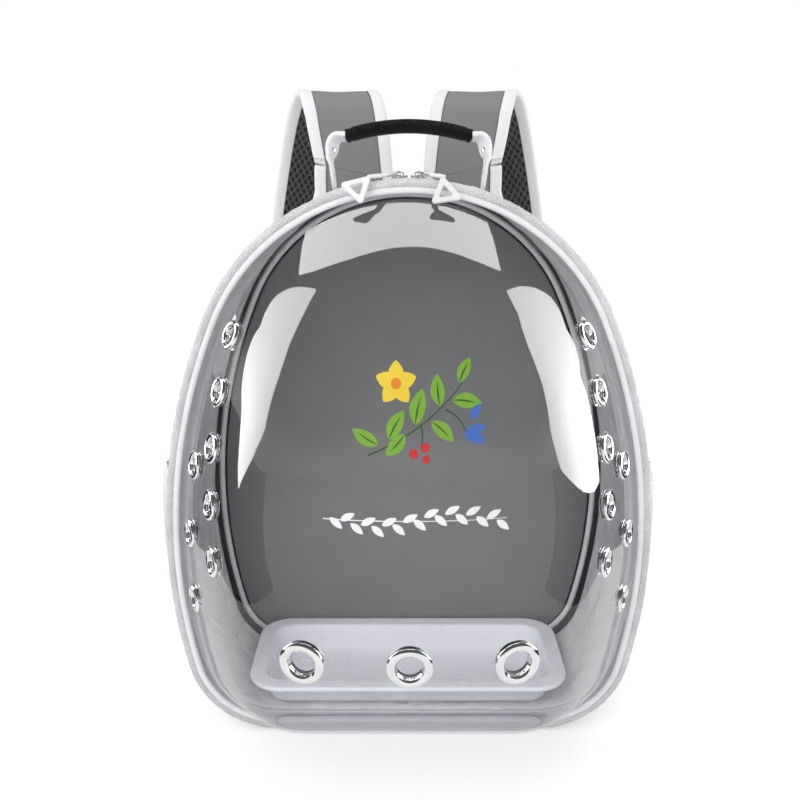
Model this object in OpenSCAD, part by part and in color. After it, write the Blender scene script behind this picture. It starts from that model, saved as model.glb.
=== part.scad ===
// Bird travel carrier: a clear moulded dome, zipped to a soft backpack shell.
// Millimetres, +Z up. The dome faces -Y and the wearer's back is at +Y.
// The origin is the centre of the flat base, on the ground.

/* [Body outline] */
// Width across the zip rim
body_w = 346; // [330:1:370]
// Height of the zip rim above the base board
body_h = 407; // [380:1:440]
// Radius of the arch at the top of the rim
top_r = 150; // [130:1:158]
// Radius of the long curves down the sides of the rim
side_r = 430; // [360:5:600]
// Radius of the lower corners of the rim
corner_r = 66; // [50:1:80]

/* [Soft shell] */
// Depth of the soft shell, from the zip to the back
rear_d = 118; // [100:1:150]
// How far each side draws in on its way to the back
side_draw = 12; // [4:1:18]
// How far the top drops on its way to the back
top_drop = 12; // [4:1:20]
// Thickness of the stiffened side wall
wall_t = 3; // [2:0.5:4]
// Thickness of the board under the base
base_t = 2.5; // [2:0.5:4]
// Thickness of the back board
board_t = 3; // [2:0.5:5]
// Thickness of the grey quilted panel inside the back
lining_t = 4; // [2:0.5:7]
// Diameter of the white piping round the grey panel
piping_d = 5; // [3:0.5:7]
// Thickness of the air-mesh cushion on the wearer's side
back_pad_t = 12; // [8:1:18]

/* [Dome] */
// Reach of the dome in front of the zip
dome_d = 142; // [120:1:160]
// Thickness of the clear sheet
dome_t = 1.8; // [1.2:0.1:3]
// Height of the point of the dome that stands out the most
dome_z = 170; // [150:1:190]
// Share of the half width that the flank draws in on its way to the front
dome_taper = 0.42; // [0.3:0.01:0.5]
// Roundness of the shoulder between flank and front, higher is squarer
dome_round = 9; // [5:1:12]

/* [Vents] */
// Outer diameter of the three eyelets in the front
front_eyelet_d = 29; // [24:1:32]
// Hole through a front eyelet
front_hole_d = 17; // [12:0.5:19]
// Distance between two front eyelets
front_pitch = 65; // [40:1:70]
// Height of the front eyelets
front_vent_z = 132; // [120:1:150]
// Outer diameter of the eyelets in the flanks
side_eyelet_d = 23; // [18:1:26]
// Hole through a side eyelet
side_hole_d = 13; // [9:0.5:14]
// Height of the lowest eyelet in the long row
long_row_z = 172; // [165:1:180]
// Height from one eyelet of the long row to the next
long_row_pitch = 35; // [30:1:38]
// How far each eyelet of the long row stands behind the one below it
long_row_lean = 11.4; // [6:0.2:13]
// Height of the lowest eyelet in the short row
short_row_z = 122; // [118:1:130]
// Height from one eyelet of the short row to the next
short_row_pitch = 50; // [40:1:55]

/* [Zip] */
// Width of the zip tape on the shell
tape_w = 9; // [7:0.5:12]
// Width of the zip tape left bare on the dome's side
front_tape_w = 5; // [4.5:0.5:7]
// Width of the coil on the edge of each tape
coil_w = 2.4; // [2:0.1:3]
// Width of the leather welt round the dome
welt_w = 8; // [7:0.5:11]
// Length of a slider
slider_l = 12; // [10:0.5:12.5]
// How far each slider rests from the middle, along the rim
slider_gap = 6.5; // [6.5:0.5:14]
// Length of a side of the triangular pull
pull_side = 22; // [18:1:26]

/* [Tray] */
// Clearance between the tray's flange and the side walls
tray_gap = 12; // [6:1:30]
// Depth of the tray over its flange
tray_l = 110; // [90:1:112]
// Height of the tray
tray_h = 23; // [16:1:30]
// Width of the tray's flange
tray_lip = 13; // [8:1:18]
// Thickness of the tray's walls
tray_t = 2; // [1.5:0.5:3]

/* [Handle] */
// Distance between the two legs of the handle
handle_w = 104; // [90:1:114]
// Height of the handle above the shell
handle_h = 52; // [44:1:58]
// Diameter of the grip
grip_d = 10.5; // [9:0.5:14]
// Width of the handle's webbing
handle_web_w = 20; // [16:1:24]

/* [Shoulder straps] */
// Width of a padded strap over its bindings
strap_w = 62; // [50:1:68]
// Thickness of the foam in a strap
strap_t = 6; // [4:0.5:9]
// Distance between the middles of the two straps where they leave the back
strap_gap = 84; // [78:1:96]
// How far in from the side of the back each lower strap end is sewn
strap_foot_inset = 33; // [30:1:44]
// How far a strap rises above the back board
strap_rise = 59; // [50:1:80]
// How far a strap stands out behind the back
strap_reach = 82; // [70:1:110]
// Width of the adjusting webbing
web_w = 25; // [20:1:30]

/* [Side pockets] */
// Height of the pocket's mouth
pocket_h = 178; // [150:1:215]
// How far a pocket stands out from the wall
pocket_out = 22; // [14:1:26]
// Depth of a pocket, from front to back
pocket_d = 84; // [60:1:90]

/* [Hidden] */

$fn = 48;
// Places along Y are given from the zip, which lies half the shell's depth in front of the origin.
rim_y = -rear_d / 2;
// Clearance between pieces that move against each other
play = 0.4;
// Clearance between pieces that are sewn or glued together
seat = 0.05;

// Facets of each stretch of the outline
corner_n = 8;
side_n = 12;
top_n = 24;
base_n = 4;
// First and last points of the outline that the zip reaches
zip_from = 4;
zip_to = 2 * corner_n + 2 * side_n + top_n - zip_from;
// Point of the outline where the right side begins
side_from = corner_n;

// Outline

// Width, height and the three radii of the outline, at share t of the way to the back
function form(t) = [body_w - 2 * side_draw * t, body_h - top_drop * t,
    top_r - side_draw * t, side_r - side_draw * t, corner_r - side_draw * t];
function form_at(y) = form(max(0, y) / rear_d);

// Centres and meeting angles of the arcs: [side x, side z, corner x, corner z, top z, low angle, high angle]
function centres(f) = let(
        xs = f[0] / 2 - f[3],
        zt = base_t + f[1] - f[2],
        zs = zt - sqrt(pow(f[3] - f[2], 2) - xs * xs),
        zc = base_t + f[4],
        xc = xs + sqrt(pow(f[3] - f[4], 2) - pow(zs - zc, 2)))
    [xs, zs, xc, zc, zt, atan2(zc - zs, xc - xs), atan2(zt - zs, -xs)];

function arc(c, r, from, to, n) =
    [for (i = [0:n - 1]) let(a = from + (to - from) * i / n) c + r * [cos(a), sin(a)]];

// The outline as points in X and Z, moved outwards by out
function edge(f, out = 0) = let(c = centres(f)) concat(
    arc([c[2], c[3]], f[4] + out, -90, c[5], corner_n),
    arc([c[0], c[1]], f[3] + out, c[5], c[6], side_n),
    arc([0, c[4]], f[2] + out, c[6], 180 - c[6], top_n),
    arc([-c[0], c[1]], f[3] + out, 180 - c[6], 180 - c[5], side_n),
    arc([-c[2], c[3]], f[4] + out, 180 - c[5], 270, corner_n),
    [for (i = [0:base_n - 1]) [c[2] * (2 * i / base_n - 1), base_t - out]]);

// Half width of the outline at height z, or -1 above and below it
function half_width(f, out, z) = let(c = centres(f))
    z < base_t - out || z > c[4] + f[2] + out ? -1 :
    z < c[3] + (f[4] + out) * sin(c[5]) ? c[2] + sqrt(pow(f[4] + out, 2) - pow(z - c[3], 2)) :
    z < c[1] + (f[3] + out) * sin(c[6]) ? c[0] + sqrt(pow(f[3] + out, 2) - pow(z - c[1], 2)) :
    sqrt(pow(f[2] + out, 2) - pow(z - c[4], 2));

// Direction in which the outline faces at a point of its right half
function facing(f, p) = let(c = centres(f),
        from = p[0] < c[2] && p[1] < c[3] ? [p[0], c[3]] :
            p[1] < c[3] + f[4] * sin(c[5]) ? [c[2], c[3]] :
            p[1] < c[1] + f[3] * sin(c[6]) ? [c[0], c[1]] : [0, c[4]])
    (p - from) / norm(p - from);

// Solids swept through sections

function flat(lists) = [for (list = lists) each list];

// Skin over sections of equal count. The ends are capped from point cap_from on, unless the sweep is closed.
// Each quad is cut at its corner that lies furthest along a slanted line, so that two sweeps with a
// face in common cut it alike.
slant = [0.31, 1, 0.67];
module sweep(sections, closed = false, cap_from = 0) {
    m = len(sections);
    n = len(sections[0]);
    last = closed ? m - 1 : m - 2;
    points = flat(sections);
    far = points * slant;
    sides = [for (s = [0:last], k = [0:n - 1]) let(
            a = s * n + k, b = (s + 1) % m * n + k,
            c = (s + 1) % m * n + (k + 1) % n, d = s * n + (k + 1) % n)
        each max(far[a], far[c]) > max(far[b], far[d]) ? [[a, b, c], [a, c, d]] : [[a, b, d], [b, c, d]]];
    start = [for (k = [0:n - 1]) (k + cap_from) % n];
    caps = closed ? [] : [start, [for (k = [n - 1:-1:0]) (m - 1) * n + start[k]]];
    polyhedron(points, concat(sides, caps), convexity = 6);
}

// One profile point, as [y, out], carried to every point of the outline
function rail(p) = [for (q = edge(form_at(p[0]), p[1])) [q[0], rim_y + p[0], q[1]]];

// A profile of [y, out] points carried round the whole outline, or along its points from..to.
// The profile runs backwards along its outer side first.
module ring(profile, from = 0, to = -1) {
    rails = [for (p = profile) rail(p)];
    last = to < 0 ? len(rails[0]) - 1 : to;
    sweep([for (i = [from:last]) [for (r = rails) r[i]]], closed = to < 0);
}

// Flat panel of the outline from depth y on, from out inwards, thickness t towards the back
module panel(y, out, t)
    translate([0, rim_y + y + t, 0]) rotate([90, 0, 0])
        linear_extrude(t) polygon(edge(form_at(y + t), out));

// Soft shell

// The zip tape lies on the rim and the gusset starts behind it.
gusset_y = tape_w;
back_y = rear_d - board_t;
lining_y = back_y - lining_t;
lining_inset = wall_t + piping_d + seat;
// Thickness of the silver lining on the side walls
cloth_t = 1;

// Board under the base, clear of the zip in front and of the seam behind
base_inset = 12;
base_round = 6;
module base_panel()
    color("white") linear_extrude(base_t) offset(base_round)
        square([2 * centres(form(1))[2], rear_d - 2 * base_inset] - 2 * base_round * [1, 1], center = true);

module side_gusset()
    color("whitesmoke") ring([[gusset_y, 0], [back_y, 0],
        [back_y, cloth_t - wall_t], [gusset_y, cloth_t - wall_t]]);

module gusset_lining()
    color("silver") ring([[gusset_y, cloth_t - wall_t], [back_y, cloth_t - wall_t],
        [back_y, -wall_t], [gusset_y, -wall_t]]);

module back_board()
    color("white") panel(back_y, -seat, board_t);

module back_lining()
    color("dimgray") panel(lining_y, -lining_inset, lining_t);

// Round piping in the corner between the side walls and the grey panel
module back_piping() {
    r = piping_d / 2;
    color("white") ring([for (a = [0:60:300])
        [back_y - r - seat - r * cos(a), -wall_t - seat - r + r * sin(a)]]);
}

// Binding folded over the seam at the back edge
bind_t = 1.2;
bind_wrap = 8;
module seam_binding()
    color("white") ring([[back_y - bind_wrap, seat], [back_y - bind_wrap, bind_t], [rear_d, bind_t],
        [rear_d + bind_t, 0], [rear_d + bind_t, -bind_wrap], [rear_d + seat, -bind_wrap],
        [rear_d + seat, seat]]);

// Leather yoke across the upper back, arched as the shell is, with the sewn roots of the two straps
yoke_t = 2;
yoke_h = 88;
yoke_margin = 7;
yoke_w = strap_gap + strap_w + 2 * yoke_margin;
yoke_top = base_t + body_h - top_drop - bind_wrap - 2;
module strap_yoke() {
    color("white") flat_on_back(yoke_t) offset(yoke_margin) offset(-yoke_margin) intersection() {
        polygon(edge(form(1), yoke_top - base_t - body_h + top_drop));
        translate([-yoke_w / 2, yoke_top - yoke_h]) square([yoke_w, yoke_h]);
    }
    color("gray") {
        strap_root();
        left() strap_root();
    }
}

// An outline in X and Z laid on the back, with thickness t towards the wearer
module flat_on_back(t)
    translate([0, rim_y + rear_d + seat + t, 0]) rotate([90, 0, 0]) linear_extrude(t) children();

// Air-mesh cushion on the wearer's side, between the yoke and the lower strap ends, rounded by two steps
pad_gap = 5;
pad_round = 14;
pad_edge = 6;
module back_pad() {
    low = foot_z + web_w / 2 - pad_gap;
    half = strap_foot[0] - web_w / 2 - pad_gap;
    module shape(d) offset(pad_round - d) offset(-pad_round) translate([-half, low])
        square([2 * half, yoke_top - yoke_h - pad_gap - low]);
    color("#333333") hull() {
        flat_on_back(back_pad_t - pad_edge) shape(0);
        flat_on_back(back_pad_t) shape(pad_edge);
    }
}

// Leather patches with a sewn tab, under the lower strap ends
foot_z = 58;
patch_w = web_w + 3;
patch_drop = 12;
patch_round = 4;
tab_l = 22;
module strap_anchors()
    color("white") {
        strap_anchor();
        left() strap_anchor();
    }

module strap_anchor() {
    w = across(strap_axis);
    o = cross(w, strap_axis);
    flat_on_back(yoke_t) translate([strap_foot[0], foot_z - patch_drop]) offset(patch_round)
        square((patch_w - 2 * patch_round) * [1, 1], center = true);
    section = slab(-web_w / 2, web_w / 2, -patch_gap - seat, web_out + web_thick);
    sweep([for (d = [play, tab_l]) [for (q = section) strap_foot + strap_axis * d + q[0] * w + q[1] * o]]);
}

// Zip

tape_in = -2.2;
tape_t = 0.9;
coil_out = 0.6;
zip_gap = play / 2;

// A tape with its coil, on the side of the zip given by dir, 1 behind and -1 in front
function tape_profile(dir) = let(
        a = dir * zip_gap, b = dir * coil_w, c = dir * ((dir > 0 ? tape_w : front_tape_w) - seat),
        p = [[b, tape_in + tape_t], [c, tape_in + tape_t], [c, tape_in], [a, tape_in],
            [a, coil_out - 0.5], [dir * (zip_gap + 0.5), coil_out], [b, coil_out]])
    dir > 0 ? p : [for (i = [0:6]) p[(7 - i) % 7]];

module zip_tape_rear()
    color("lightgray") ring(tape_profile(1), zip_from, zip_to);

module zip_tape_front()
    color("lightgray") ring(tape_profile(-1), zip_from, zip_to);

// The cloth that joins dome and shell along the bottom, where there is no zip
// It is in two halves, behind and in front of its fold.
module hinge_strip(from, to) {
    rails = [for (p = [[from, 0], [to, 0], [to, tape_in], [from, tape_in]]) rail(p)];
    n = len(rails[0]);
    color("white") sweep([for (i = [zip_to:n + zip_from]) [for (r = rails) r[i % n]]]);
}

// Dome

// The wall of the dome stands inside the welt, and its flange lies in the welt's slot.
flange_y = -(front_tape_w + welt_w / 2 + 1);
flange_t = 2;
wall_out = -9.8;
flange_out = -3.4;

// Share of the half width left at share s of the way to the front
function drawn(s) = 1 - dome_taper * s - (1 - dome_taper) * (1 - sqrt(1 - pow(s, dome_round)));

// One loop of the dome: the rim's outline, moved by out, drawn in about the dome's centre
function dome_loop(s, out, y_from, reach) = [for (q = edge(form(0), out))
    [q[0] * drawn(s), rim_y + y_from + (-reach - y_from) * s, dome_z + (q[1] - dome_z) * drawn(s)]];

dome_rings = 13;
dome_last = 0.9965;
function ring_share(i) = dome_last * (1 - pow(1 - i / dome_rings, 2));

module dome_shell() {
    inner = [for (i = [dome_rings:-1:0])
        dome_loop(ring_share(i), wall_out - dome_t, flange_y + flange_t, dome_d - dome_t)];
    outer = [for (i = [0:dome_rings])
        dome_loop(ring_share(i), wall_out, flange_y, dome_d)];
    rim = [rail([flange_y + flange_t, flange_out]), rail([flange_y, flange_out])];
    color("lightcyan", 0.35) difference() {
        sweep(concat(inner, rim, outer), cap_from = corner_n + side_n);
        for (v = front_vents) at_vent(v) cylinder(d = front_hole_d, h = 8 * dome_t, center = true);
        for (side = [-1, 1], v = side_vents) mirror([side < 0 ? 1 : 0, 0, 0])
            at_vent(v) cylinder(d = side_hole_d, h = 8 * dome_t, center = true);
    }
}

// Leather welt round the rim of the dome, with a slot for the flange
welt_crown = 1.2;
welt_round = 1.8;
welt_clear = 1.2;
module dome_welt() {
    y0 = -(front_tape_w + welt_w);
    y1 = -(front_tape_w + seat);
    in = wall_out + welt_clear;
    f0 = flange_y - seat;
    f1 = flange_y + flange_t + seat;
    s = flange_out + seat;
    color("white") ring([[y0, -welt_round], [y0 + welt_round, welt_crown / 3], [(y0 + y1) / 2, welt_crown],
        [y1 - welt_round, welt_crown / 3], [y1, -welt_round], [y1, in], [f1, in], [f1, s], [f0, s], [f0, in],
        [y0, in]]);
}

// Vents

// Share s at which the dome is drawn in to share k, by halving the interval
function share_for(k, lo = 0, hi = 1, n = 30) = let(m = (lo + hi) / 2)
    n == 0 ? m : drawn(m) > k ? share_for(k, m, hi, n - 1) : share_for(k, lo, m, n - 1);

// Share k at which the drawn-in outline passes through x, z
function drawn_at(x, z, lo = 0.01, hi = 1, n = 30) = let(m = (lo + hi) / 2)
    n == 0 ? m : half_width(form(0), wall_out, dome_z + (z - dome_z) / m) > x / m
        ? drawn_at(x, z, lo, m, n - 1) : drawn_at(x, z, m, hi, n - 1);

// Slope of the dome's draw at share s
function draw_slope(s) = dome_taper + (1 - dome_taper) * dome_round / 2
    * pow(s, dome_round - 1) / sqrt(1 - pow(s, dome_round));

// A vent as [place, direction], from its x, z, share s and drawn share k
function vent(x, z, s, k) = let(
        q = [x / k, dome_z + (z - dome_z) / k],
        n = facing(form(0), q),
        h = q[0] * n[0] + (q[1] - dome_z) * n[1],
        d = [n[0] / h, -draw_slope(s) / (dome_d + flange_y), n[1] / h])
    [[x, rim_y + flange_y - (dome_d + flange_y) * s, z], d / norm(d)];

front_vents = [for (x = [-1:1]) let(
        k = drawn_at(abs(x) * front_pitch, front_vent_z), s = share_for(k),
        v = vent(abs(x) * front_pitch, front_vent_z, s, k))
    x < 0 ? [[-v[0][0], v[0][1], v[0][2]], [-v[1][0], v[1][1], v[1][2]]] : v];

// Depths in front of the zip at the foot of the two rows of side vents
long_row_y = 78;
short_row_y = 31.5;
function row_vent(y, z) = let(
        s = (y + flange_y) / (dome_d + flange_y), k = drawn(s),
        x = k * half_width(form(0), wall_out, dome_z + (z - dome_z) / k))
    vent(x, z, s, k);
side_vents = concat(
    [for (i = [0:4]) row_vent(long_row_y - i * long_row_lean, long_row_z + i * long_row_pitch)],
    [for (i = [0:2]) row_vent(short_row_y, short_row_z + i * short_row_pitch)]);

// Children's +Z points out of the dome at the vent
module at_vent(v)
    translate(v[0]) rotate([0, acos(v[1][2]), atan2(v[1][1], v[1][0])]) children();

// The sheet's outer face bulges past a flange by less than lift, and its inner one past a washer by bow.
lift = 0.1;
bow = 1.25;
barrel_t = 0.9;
washer_t = 0.9;
washer_top = -dome_t - bow;
// Height of an eyelet's rolled crown, and of the outer edge of its flange
crown = 2.5;
flange_rim = 0.7;

// Rolled flange outside and barrel through the sheet
module eyelet(d, hole) {
    barrel = hole / 2 - 3 * seat;
    bore = barrel - barrel_t;
    rotate_extrude() polygon([[bore, washer_top - washer_t], [bore, 0.36 * crown],
        [bore + 0.32 * crown, 0.8 * crown], [bore + 0.8 * crown, crown], [d / 2 - 0.64 * crown, 0.6 * crown],
        [d / 2, flange_rim], [d / 2, lift], [barrel, lift], [barrel, washer_top - washer_t]]);
}

// Flat washer inside the sheet, with a rounded edge
module washer(d, hole)
    rotate_extrude() polygon([[hole / 2, washer_top - washer_t], [hole / 2, washer_top],
        [d / 2 - washer_t, washer_top], [d / 2 - washer_t, washer_top - washer_t / 2],
        [d / 2 - 1.5 * washer_t, washer_top - washer_t]]);

module front_eyelets()
    color("silver") for (v = front_vents) at_vent(v) eyelet(front_eyelet_d, front_hole_d);
module front_washers()
    color("silver") for (v = front_vents) at_vent(v) washer(front_eyelet_d, front_hole_d);
module side_eyelets()
    color("silver") for (v = side_vents) at_vent(v) eyelet(side_eyelet_d, side_hole_d);
module side_washers()
    color("silver") for (v = side_vents) at_vent(v) washer(side_eyelet_d, side_hole_d);

// Sliders and pulls

// The sliders ride the top arch, about its centre.
arch_z = base_t + body_h - top_r;
slider_angle = slider_gap / top_r * 180 / PI;
slider_w = 9;
plate_in = coil_out + play;
plate_t = 1.5;
bail_d = 6;
bail_t = 1.2;
bail_w = 2;
lip_t = 1;
plate_nose = 0.62;

module on_arch(side)
    translate([0, rim_y, arch_z]) rotate([0, side * slider_angle, 0]) translate([0, 0, top_r]) children();

// Plate over the coil, with turned-down flanges and a bail for the ring
module slider(side) {
    flange_h = plate_in - tape_in - tape_t - play;
    color("silver") on_arch(side) {
        translate([0, 0, plate_in]) linear_extrude(plate_t) hull() {
            square([slider_l * 0.55, slider_w], center = true);
            square([slider_l, slider_w * plate_nose], center = true);
        }
        for (e = [-1, 1]) translate([0, e * (slider_w - lip_t) / 2, plate_in - flange_h / 2 + plate_t / 4])
            cube([slider_l * 0.54, lip_t, flange_h + plate_t / 2], center = true);
        translate([0, bail_w / 2, plate_in + plate_t]) rotate([90, 0, 0]) linear_extrude(bail_w)
            intersection() {
                difference() {
                    scale([1.35, 1]) circle(d = bail_d);
                    scale([1.35, 1]) circle(d = bail_d - 2 * bail_t);
                }
                translate([-bail_d, -0.3]) square([2 * bail_d, bail_d]);
            }
    }
}

// Wire ring through the bail, turned outwards
ring_wire_d = 1.2;
ring_d = 10;
ring_turn = 58;
bail_z = plate_in + plate_t + 0.9;
ring_reach = ring_d - ring_wire_d;

module at_bail(side)
    on_arch(side) translate([0, 0, bail_z]) rotate([0, 0, side * ring_turn]) children();

module ring_wire(d)
    translate([0, -ring_reach / 2, 0]) rotate_extrude() translate([ring_reach / 2, 0]) circle(d = d, $fn = 16);

module pull_ring(side)
    color("silver") at_bail(side) ring_wire(ring_wire_d);

// Rubber pull: a ribbed neck that lies over the welt, and a rounded triangle that hangs in front of it.
// turn is the neck's heading in plan, swing how far the triangle leans to its side.
tab_t = 2.6;
droop = 60;
left_pull = [46, 48];
right_pull = [34, 12];
tab_play = 0.3;
module pull_tab(side, turn, swing) {
    neck = (front_tape_w + welt_w + 2 - ring_reach * cos(ring_turn)) / cos(turn);
    color("white") at_bail(side) difference() {
        translate([0, -ring_reach, 0]) rotate([0, 0, side * (turn - ring_turn)]) {
            translate([0, 0, -tab_t / 2]) linear_extrude(tab_t) neck_shape(neck);
            translate([0, -neck, 0]) rotate([0, 0, -side * turn]) rotate([droop, 0, 0])
                rotate([0, 0, side * swing]) translate([0, 1, -tab_t / 2])
                    linear_extrude(tab_t) triangle_shape();
        }
        ring_wire(ring_wire_d + 2 * tab_play);
    }
}

neck_w = 4;
rib_w = 5.6;
rib_l = 1.4;
module neck_shape(l) {
    translate([-neck_w / 2, -l]) square([neck_w, l + neck_w / 2]);
    for (i = [1:3]) translate([-rib_w / 2, -i * l / 4 - rib_l / 2]) square([rib_w, rib_l]);
}

tab_round = 2;
tab_rail = 6;
module triangle_shape() {
    h = pull_side * sqrt(3) / 2;
    module corners(inset)
        polygon([[0, -inset], [-pull_side / 2 + inset * 0.87, -h + inset / 2],
            [pull_side / 2 - inset * 0.87, -h + inset / 2]]);
    difference() {
        offset(tab_round) corners(2 * tab_round);
        offset(tab_round / 2) corners(tab_rail + 2 * tab_round);
    }
}

// Handle

handle_y = 40;
handle_z = base_t + body_h - top_drop * handle_y / rear_d - top_r + sqrt(pow(top_r, 2) - pow(handle_w / 2, 2));
web_t = 2.6;
grip_rise = 7;
grip_half = handle_w / 2 - 8;
grip_r = (pow(grip_half, 2) + pow(grip_rise, 2)) / (2 * grip_rise);
grip_top = handle_z + handle_h - grip_d / 2;
grip_half_angle = asin(grip_half / grip_r);

// Arched grip of moulded rubber
module handle_grip()
    color("#1a1a1a") translate([0, rim_y + handle_y, grip_top - grip_r]) rotate([90, 0, 0])
        rotate([0, 0, 90 - grip_half_angle]) rotate_extrude(angle = 2 * grip_half_angle)
            translate([grip_r, 0]) circle(d = grip_d);

// Webbing legs, folded in at the top to meet the ends of the grip, round at the foot where they tilt
handle_pivot_z = handle_z + 3 + play + handle_web_w / 2;
bend_r = 7;
module handle_webbing() {
    end = [grip_half + 0.6, grip_top - grip_r + grip_r * cos(grip_half_angle)];
    foot = handle_pivot_z;
    module leg_line(t) {
        translate([handle_w / 2 - t / 2, foot]) square([t, end[1] - bend_r - foot]);
        translate([handle_w / 2 - bend_r, end[1] - bend_r]) intersection() {
            difference() {
                circle(bend_r + t / 2);
                circle(bend_r - t / 2);
            }
            square(2 * bend_r);
        }
        if (handle_w / 2 - bend_r > end[0])
            translate([end[0], end[1] - t / 2]) square([handle_w / 2 - bend_r - end[0], t]);
    }
    color("white") for (side = [-1, 1]) mirror([side < 0 ? 1 : 0, 0, 0])
        translate([0, rim_y + handle_y, 0]) {
            translate([0, handle_web_w / 2, 0]) rotate([90, 0, 0]) linear_extrude(handle_web_w) leg_line(web_t);
            translate([handle_w / 2 - web_t / 2, 0, foot]) rotate([0, 90, 0])
                cylinder(d = handle_web_w, h = web_t);
        }
}

// Leather patches that hold the handle's legs on the shell
anchor_t = 2;
anchor_lift = 1.6;
module handle_anchors()
    color("white") for (side = [-1, 1])
        translate([side * handle_w / 2, rim_y + handle_y, handle_z])
            rotate([-atan(top_drop / rear_d), side * asin(handle_w / 2 / top_r), 0])
                translate([0, 0, anchor_lift]) linear_extrude(anchor_t, center = true) offset(patch_round)
                    square([handle_web_w - 6, handle_web_w + 8], center = true);

// Tray

floor_z = base_t + wall_t;
tray_y = 1;
tray_r = 26;
tray_bottom = floor_z + seat;
tray_top = tray_bottom + tray_h;

// Half the room between the side walls at height z, less a gap, where the back of the tray is
function tray_room(z, gap) = half_width(form_at(tray_y + tray_l), -wall_t, z) - gap;
tray_half = tray_room(tray_top - tray_t, tray_gap);
tray_rib_z = 3;
skin = 0.1;

// A moulded tub with a rounded foot, its walls flared, and a flat flange turned down at its edge
module tray() {
    foot = tray_room(tray_bottom, 1);
    heel = tray_room(tray_bottom + tray_rib_z, 5);
    mouth = tray_half - tray_lip;
    module plate(half, z, t) translate([0, rim_y + tray_y + tray_l / 2, z]) linear_extrude(t)
        rounded(half, tray_l / 2 - tray_half + half, tray_r - (tray_half - half) * 0.7);
    color("white") difference() {
        union() {
            hull() {
                plate(foot, tray_bottom, skin);
                plate(heel, tray_bottom + tray_rib_z, skin);
                plate(mouth + tray_t, tray_top - skin, skin);
            }
            plate(tray_half, tray_top - 2 * tray_t, 2 * tray_t);
        }
        hull() {
            plate(foot - tray_t / 2, tray_bottom + tray_t, skin);
            plate(heel - tray_t, tray_bottom + tray_rib_z + tray_t / 2, skin);
            plate(mouth, tray_top, skin);
        }
        difference() {
            plate(tray_half - tray_t, tray_top - 3 * tray_t, 2 * tray_t);
            plate(mouth + tray_t, tray_top - 3 * tray_t, 2 * tray_t);
        }
    }
}

module rounded(half_x, half_y, r)
    offset(r) square(2 * [half_x - r, half_y - r], center = true);

// Shoulder straps

patch_gap = 4.45;
strap_y = rear_d + seat + yoke_t + patch_gap;
// Where a strap leaves its sewn root, and where its webbing meets the lower patch
strap_head = [strap_gap / 2, rim_y + strap_y, base_t + body_h - top_drop + 11];
strap_foot = [half_width(form(1), 0, foot_z) - strap_foot_inset, rim_y + strap_y, foot_z];

// The strap's line as shares: of the fall from head to foot, or of the rise where less than 0,
// of the reach to the back, and of the spread to the side
strap_line = [[0, 0, 0], [-0.48, 0.02, 0.1], [-0.86, 0.12, 0.22], [-1, 0.32, 0.4], [-0.76, 0.56, 0.68],
    [-0.1, 0.8, 0.98], [0.16, 0.96, 0.98], [0.36, 1, 0.83], [0.55, 0.9, 0.6], [0.7, 0.7, 0.4]];
strap_spread = 40;
// Where the webbing runs on from the strap's end to the lower patch
web_line = [[0.7, 0.7, 0.4], [0.8, 0.48, 0.28], [0.9, 0.2, 0.15], [1, 0, 0]];

strap_axis = (strap_foot - strap_head) / norm(strap_foot - strap_head);

function strap_points(line) = [for (p = line)
    strap_head + (strap_foot - strap_head) * max(0, p[0])
        + [strap_spread * p[2], strap_reach * p[1], -strap_rise * min(0, p[0])]];

// Smooth curve through the points, with n steps between two of them
function curve(p, n) = let(m = len(p) - 1)
    [for (i = [0:m - 1], j = [0:n - (i < m - 1 ? 1 : 0)]) let(
            t = j / n, a = p[max(i - 1, 0)], b = p[i], c = p[i + 1], d = p[min(i + 2, m)])
        0.5 * (2 * b + (c - a) * t + (2 * a - 5 * b + 4 * c - d) * t * t
            + (3 * b - 3 * c + d - a) * t * t * t)];

// Directions along a curve, across the strap and out of its face, at point i
function along(p, i) = let(d = p[min(i + 1, len(p) - 1)] - p[max(i - 1, 0)]) d / norm(d);
function across(t) = let(w = [1, 0, 0] - t[0] * t) w / norm(w);

// A section of [across, out] points carried along a strap's line. At the head it is square to the
// axis that the strap swings about and turns to the line over turn_n steps, at the foot at once.
turn_n = 5;
module strap_sweep(line, section, n, cap_from = 0) {
    p = curve(strap_points(line), n);
    turn = norm(p[0] - strap_head) < seat ? turn_n : 0;
    sweep(cap_from = cap_from, [for (i = [0:len(p) - 1]) let(
            square = i < turn ? 1 - i / turn : 0,
            t = norm(p[i] - strap_foot) < seat ? strap_axis : along(p, i) * (1 - square) - strap_axis * square,
            w = across(t / norm(t)), o = cross(w, t / norm(t)))
        [for (q = section) p[i] + q[0] * w + q[1] * o]]);
}

// Rectangle from a to b across and from c to d out of the face
function slab(a, b, c, d) = [[a, c], [a, d], [b, d], [b, c]];

bind_w = 9;
mesh_t = 2;
pad_half = strap_w / 2 - bind_w;
strap_steps = 3;

module strap_pad()
    color("gray") strap_sweep(strap_line, slab(-pad_half, pad_half, 0, strap_t), strap_steps);

module strap_mesh()
    color("#222222") strap_sweep(strap_line, slab(-pad_half, pad_half, -mesh_t, 0), strap_steps);

module strap_binding() {
    half = strap_w / 2;
    outer = [[pad_half, strap_t], [half - 1.5, strap_t - 0.5], [half, strap_t / 2 - 1],
        [half - 1.5, 0.5 - mesh_t], [pad_half, -mesh_t], [pad_half, 0]];
    color("white") {
        strap_sweep(strap_line, outer, strap_steps, 2);
        strap_sweep(strap_line, [for (k = [5:-1:0]) [-outer[k][0], outer[k][1]]], strap_steps, 3);
    }
}

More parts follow.
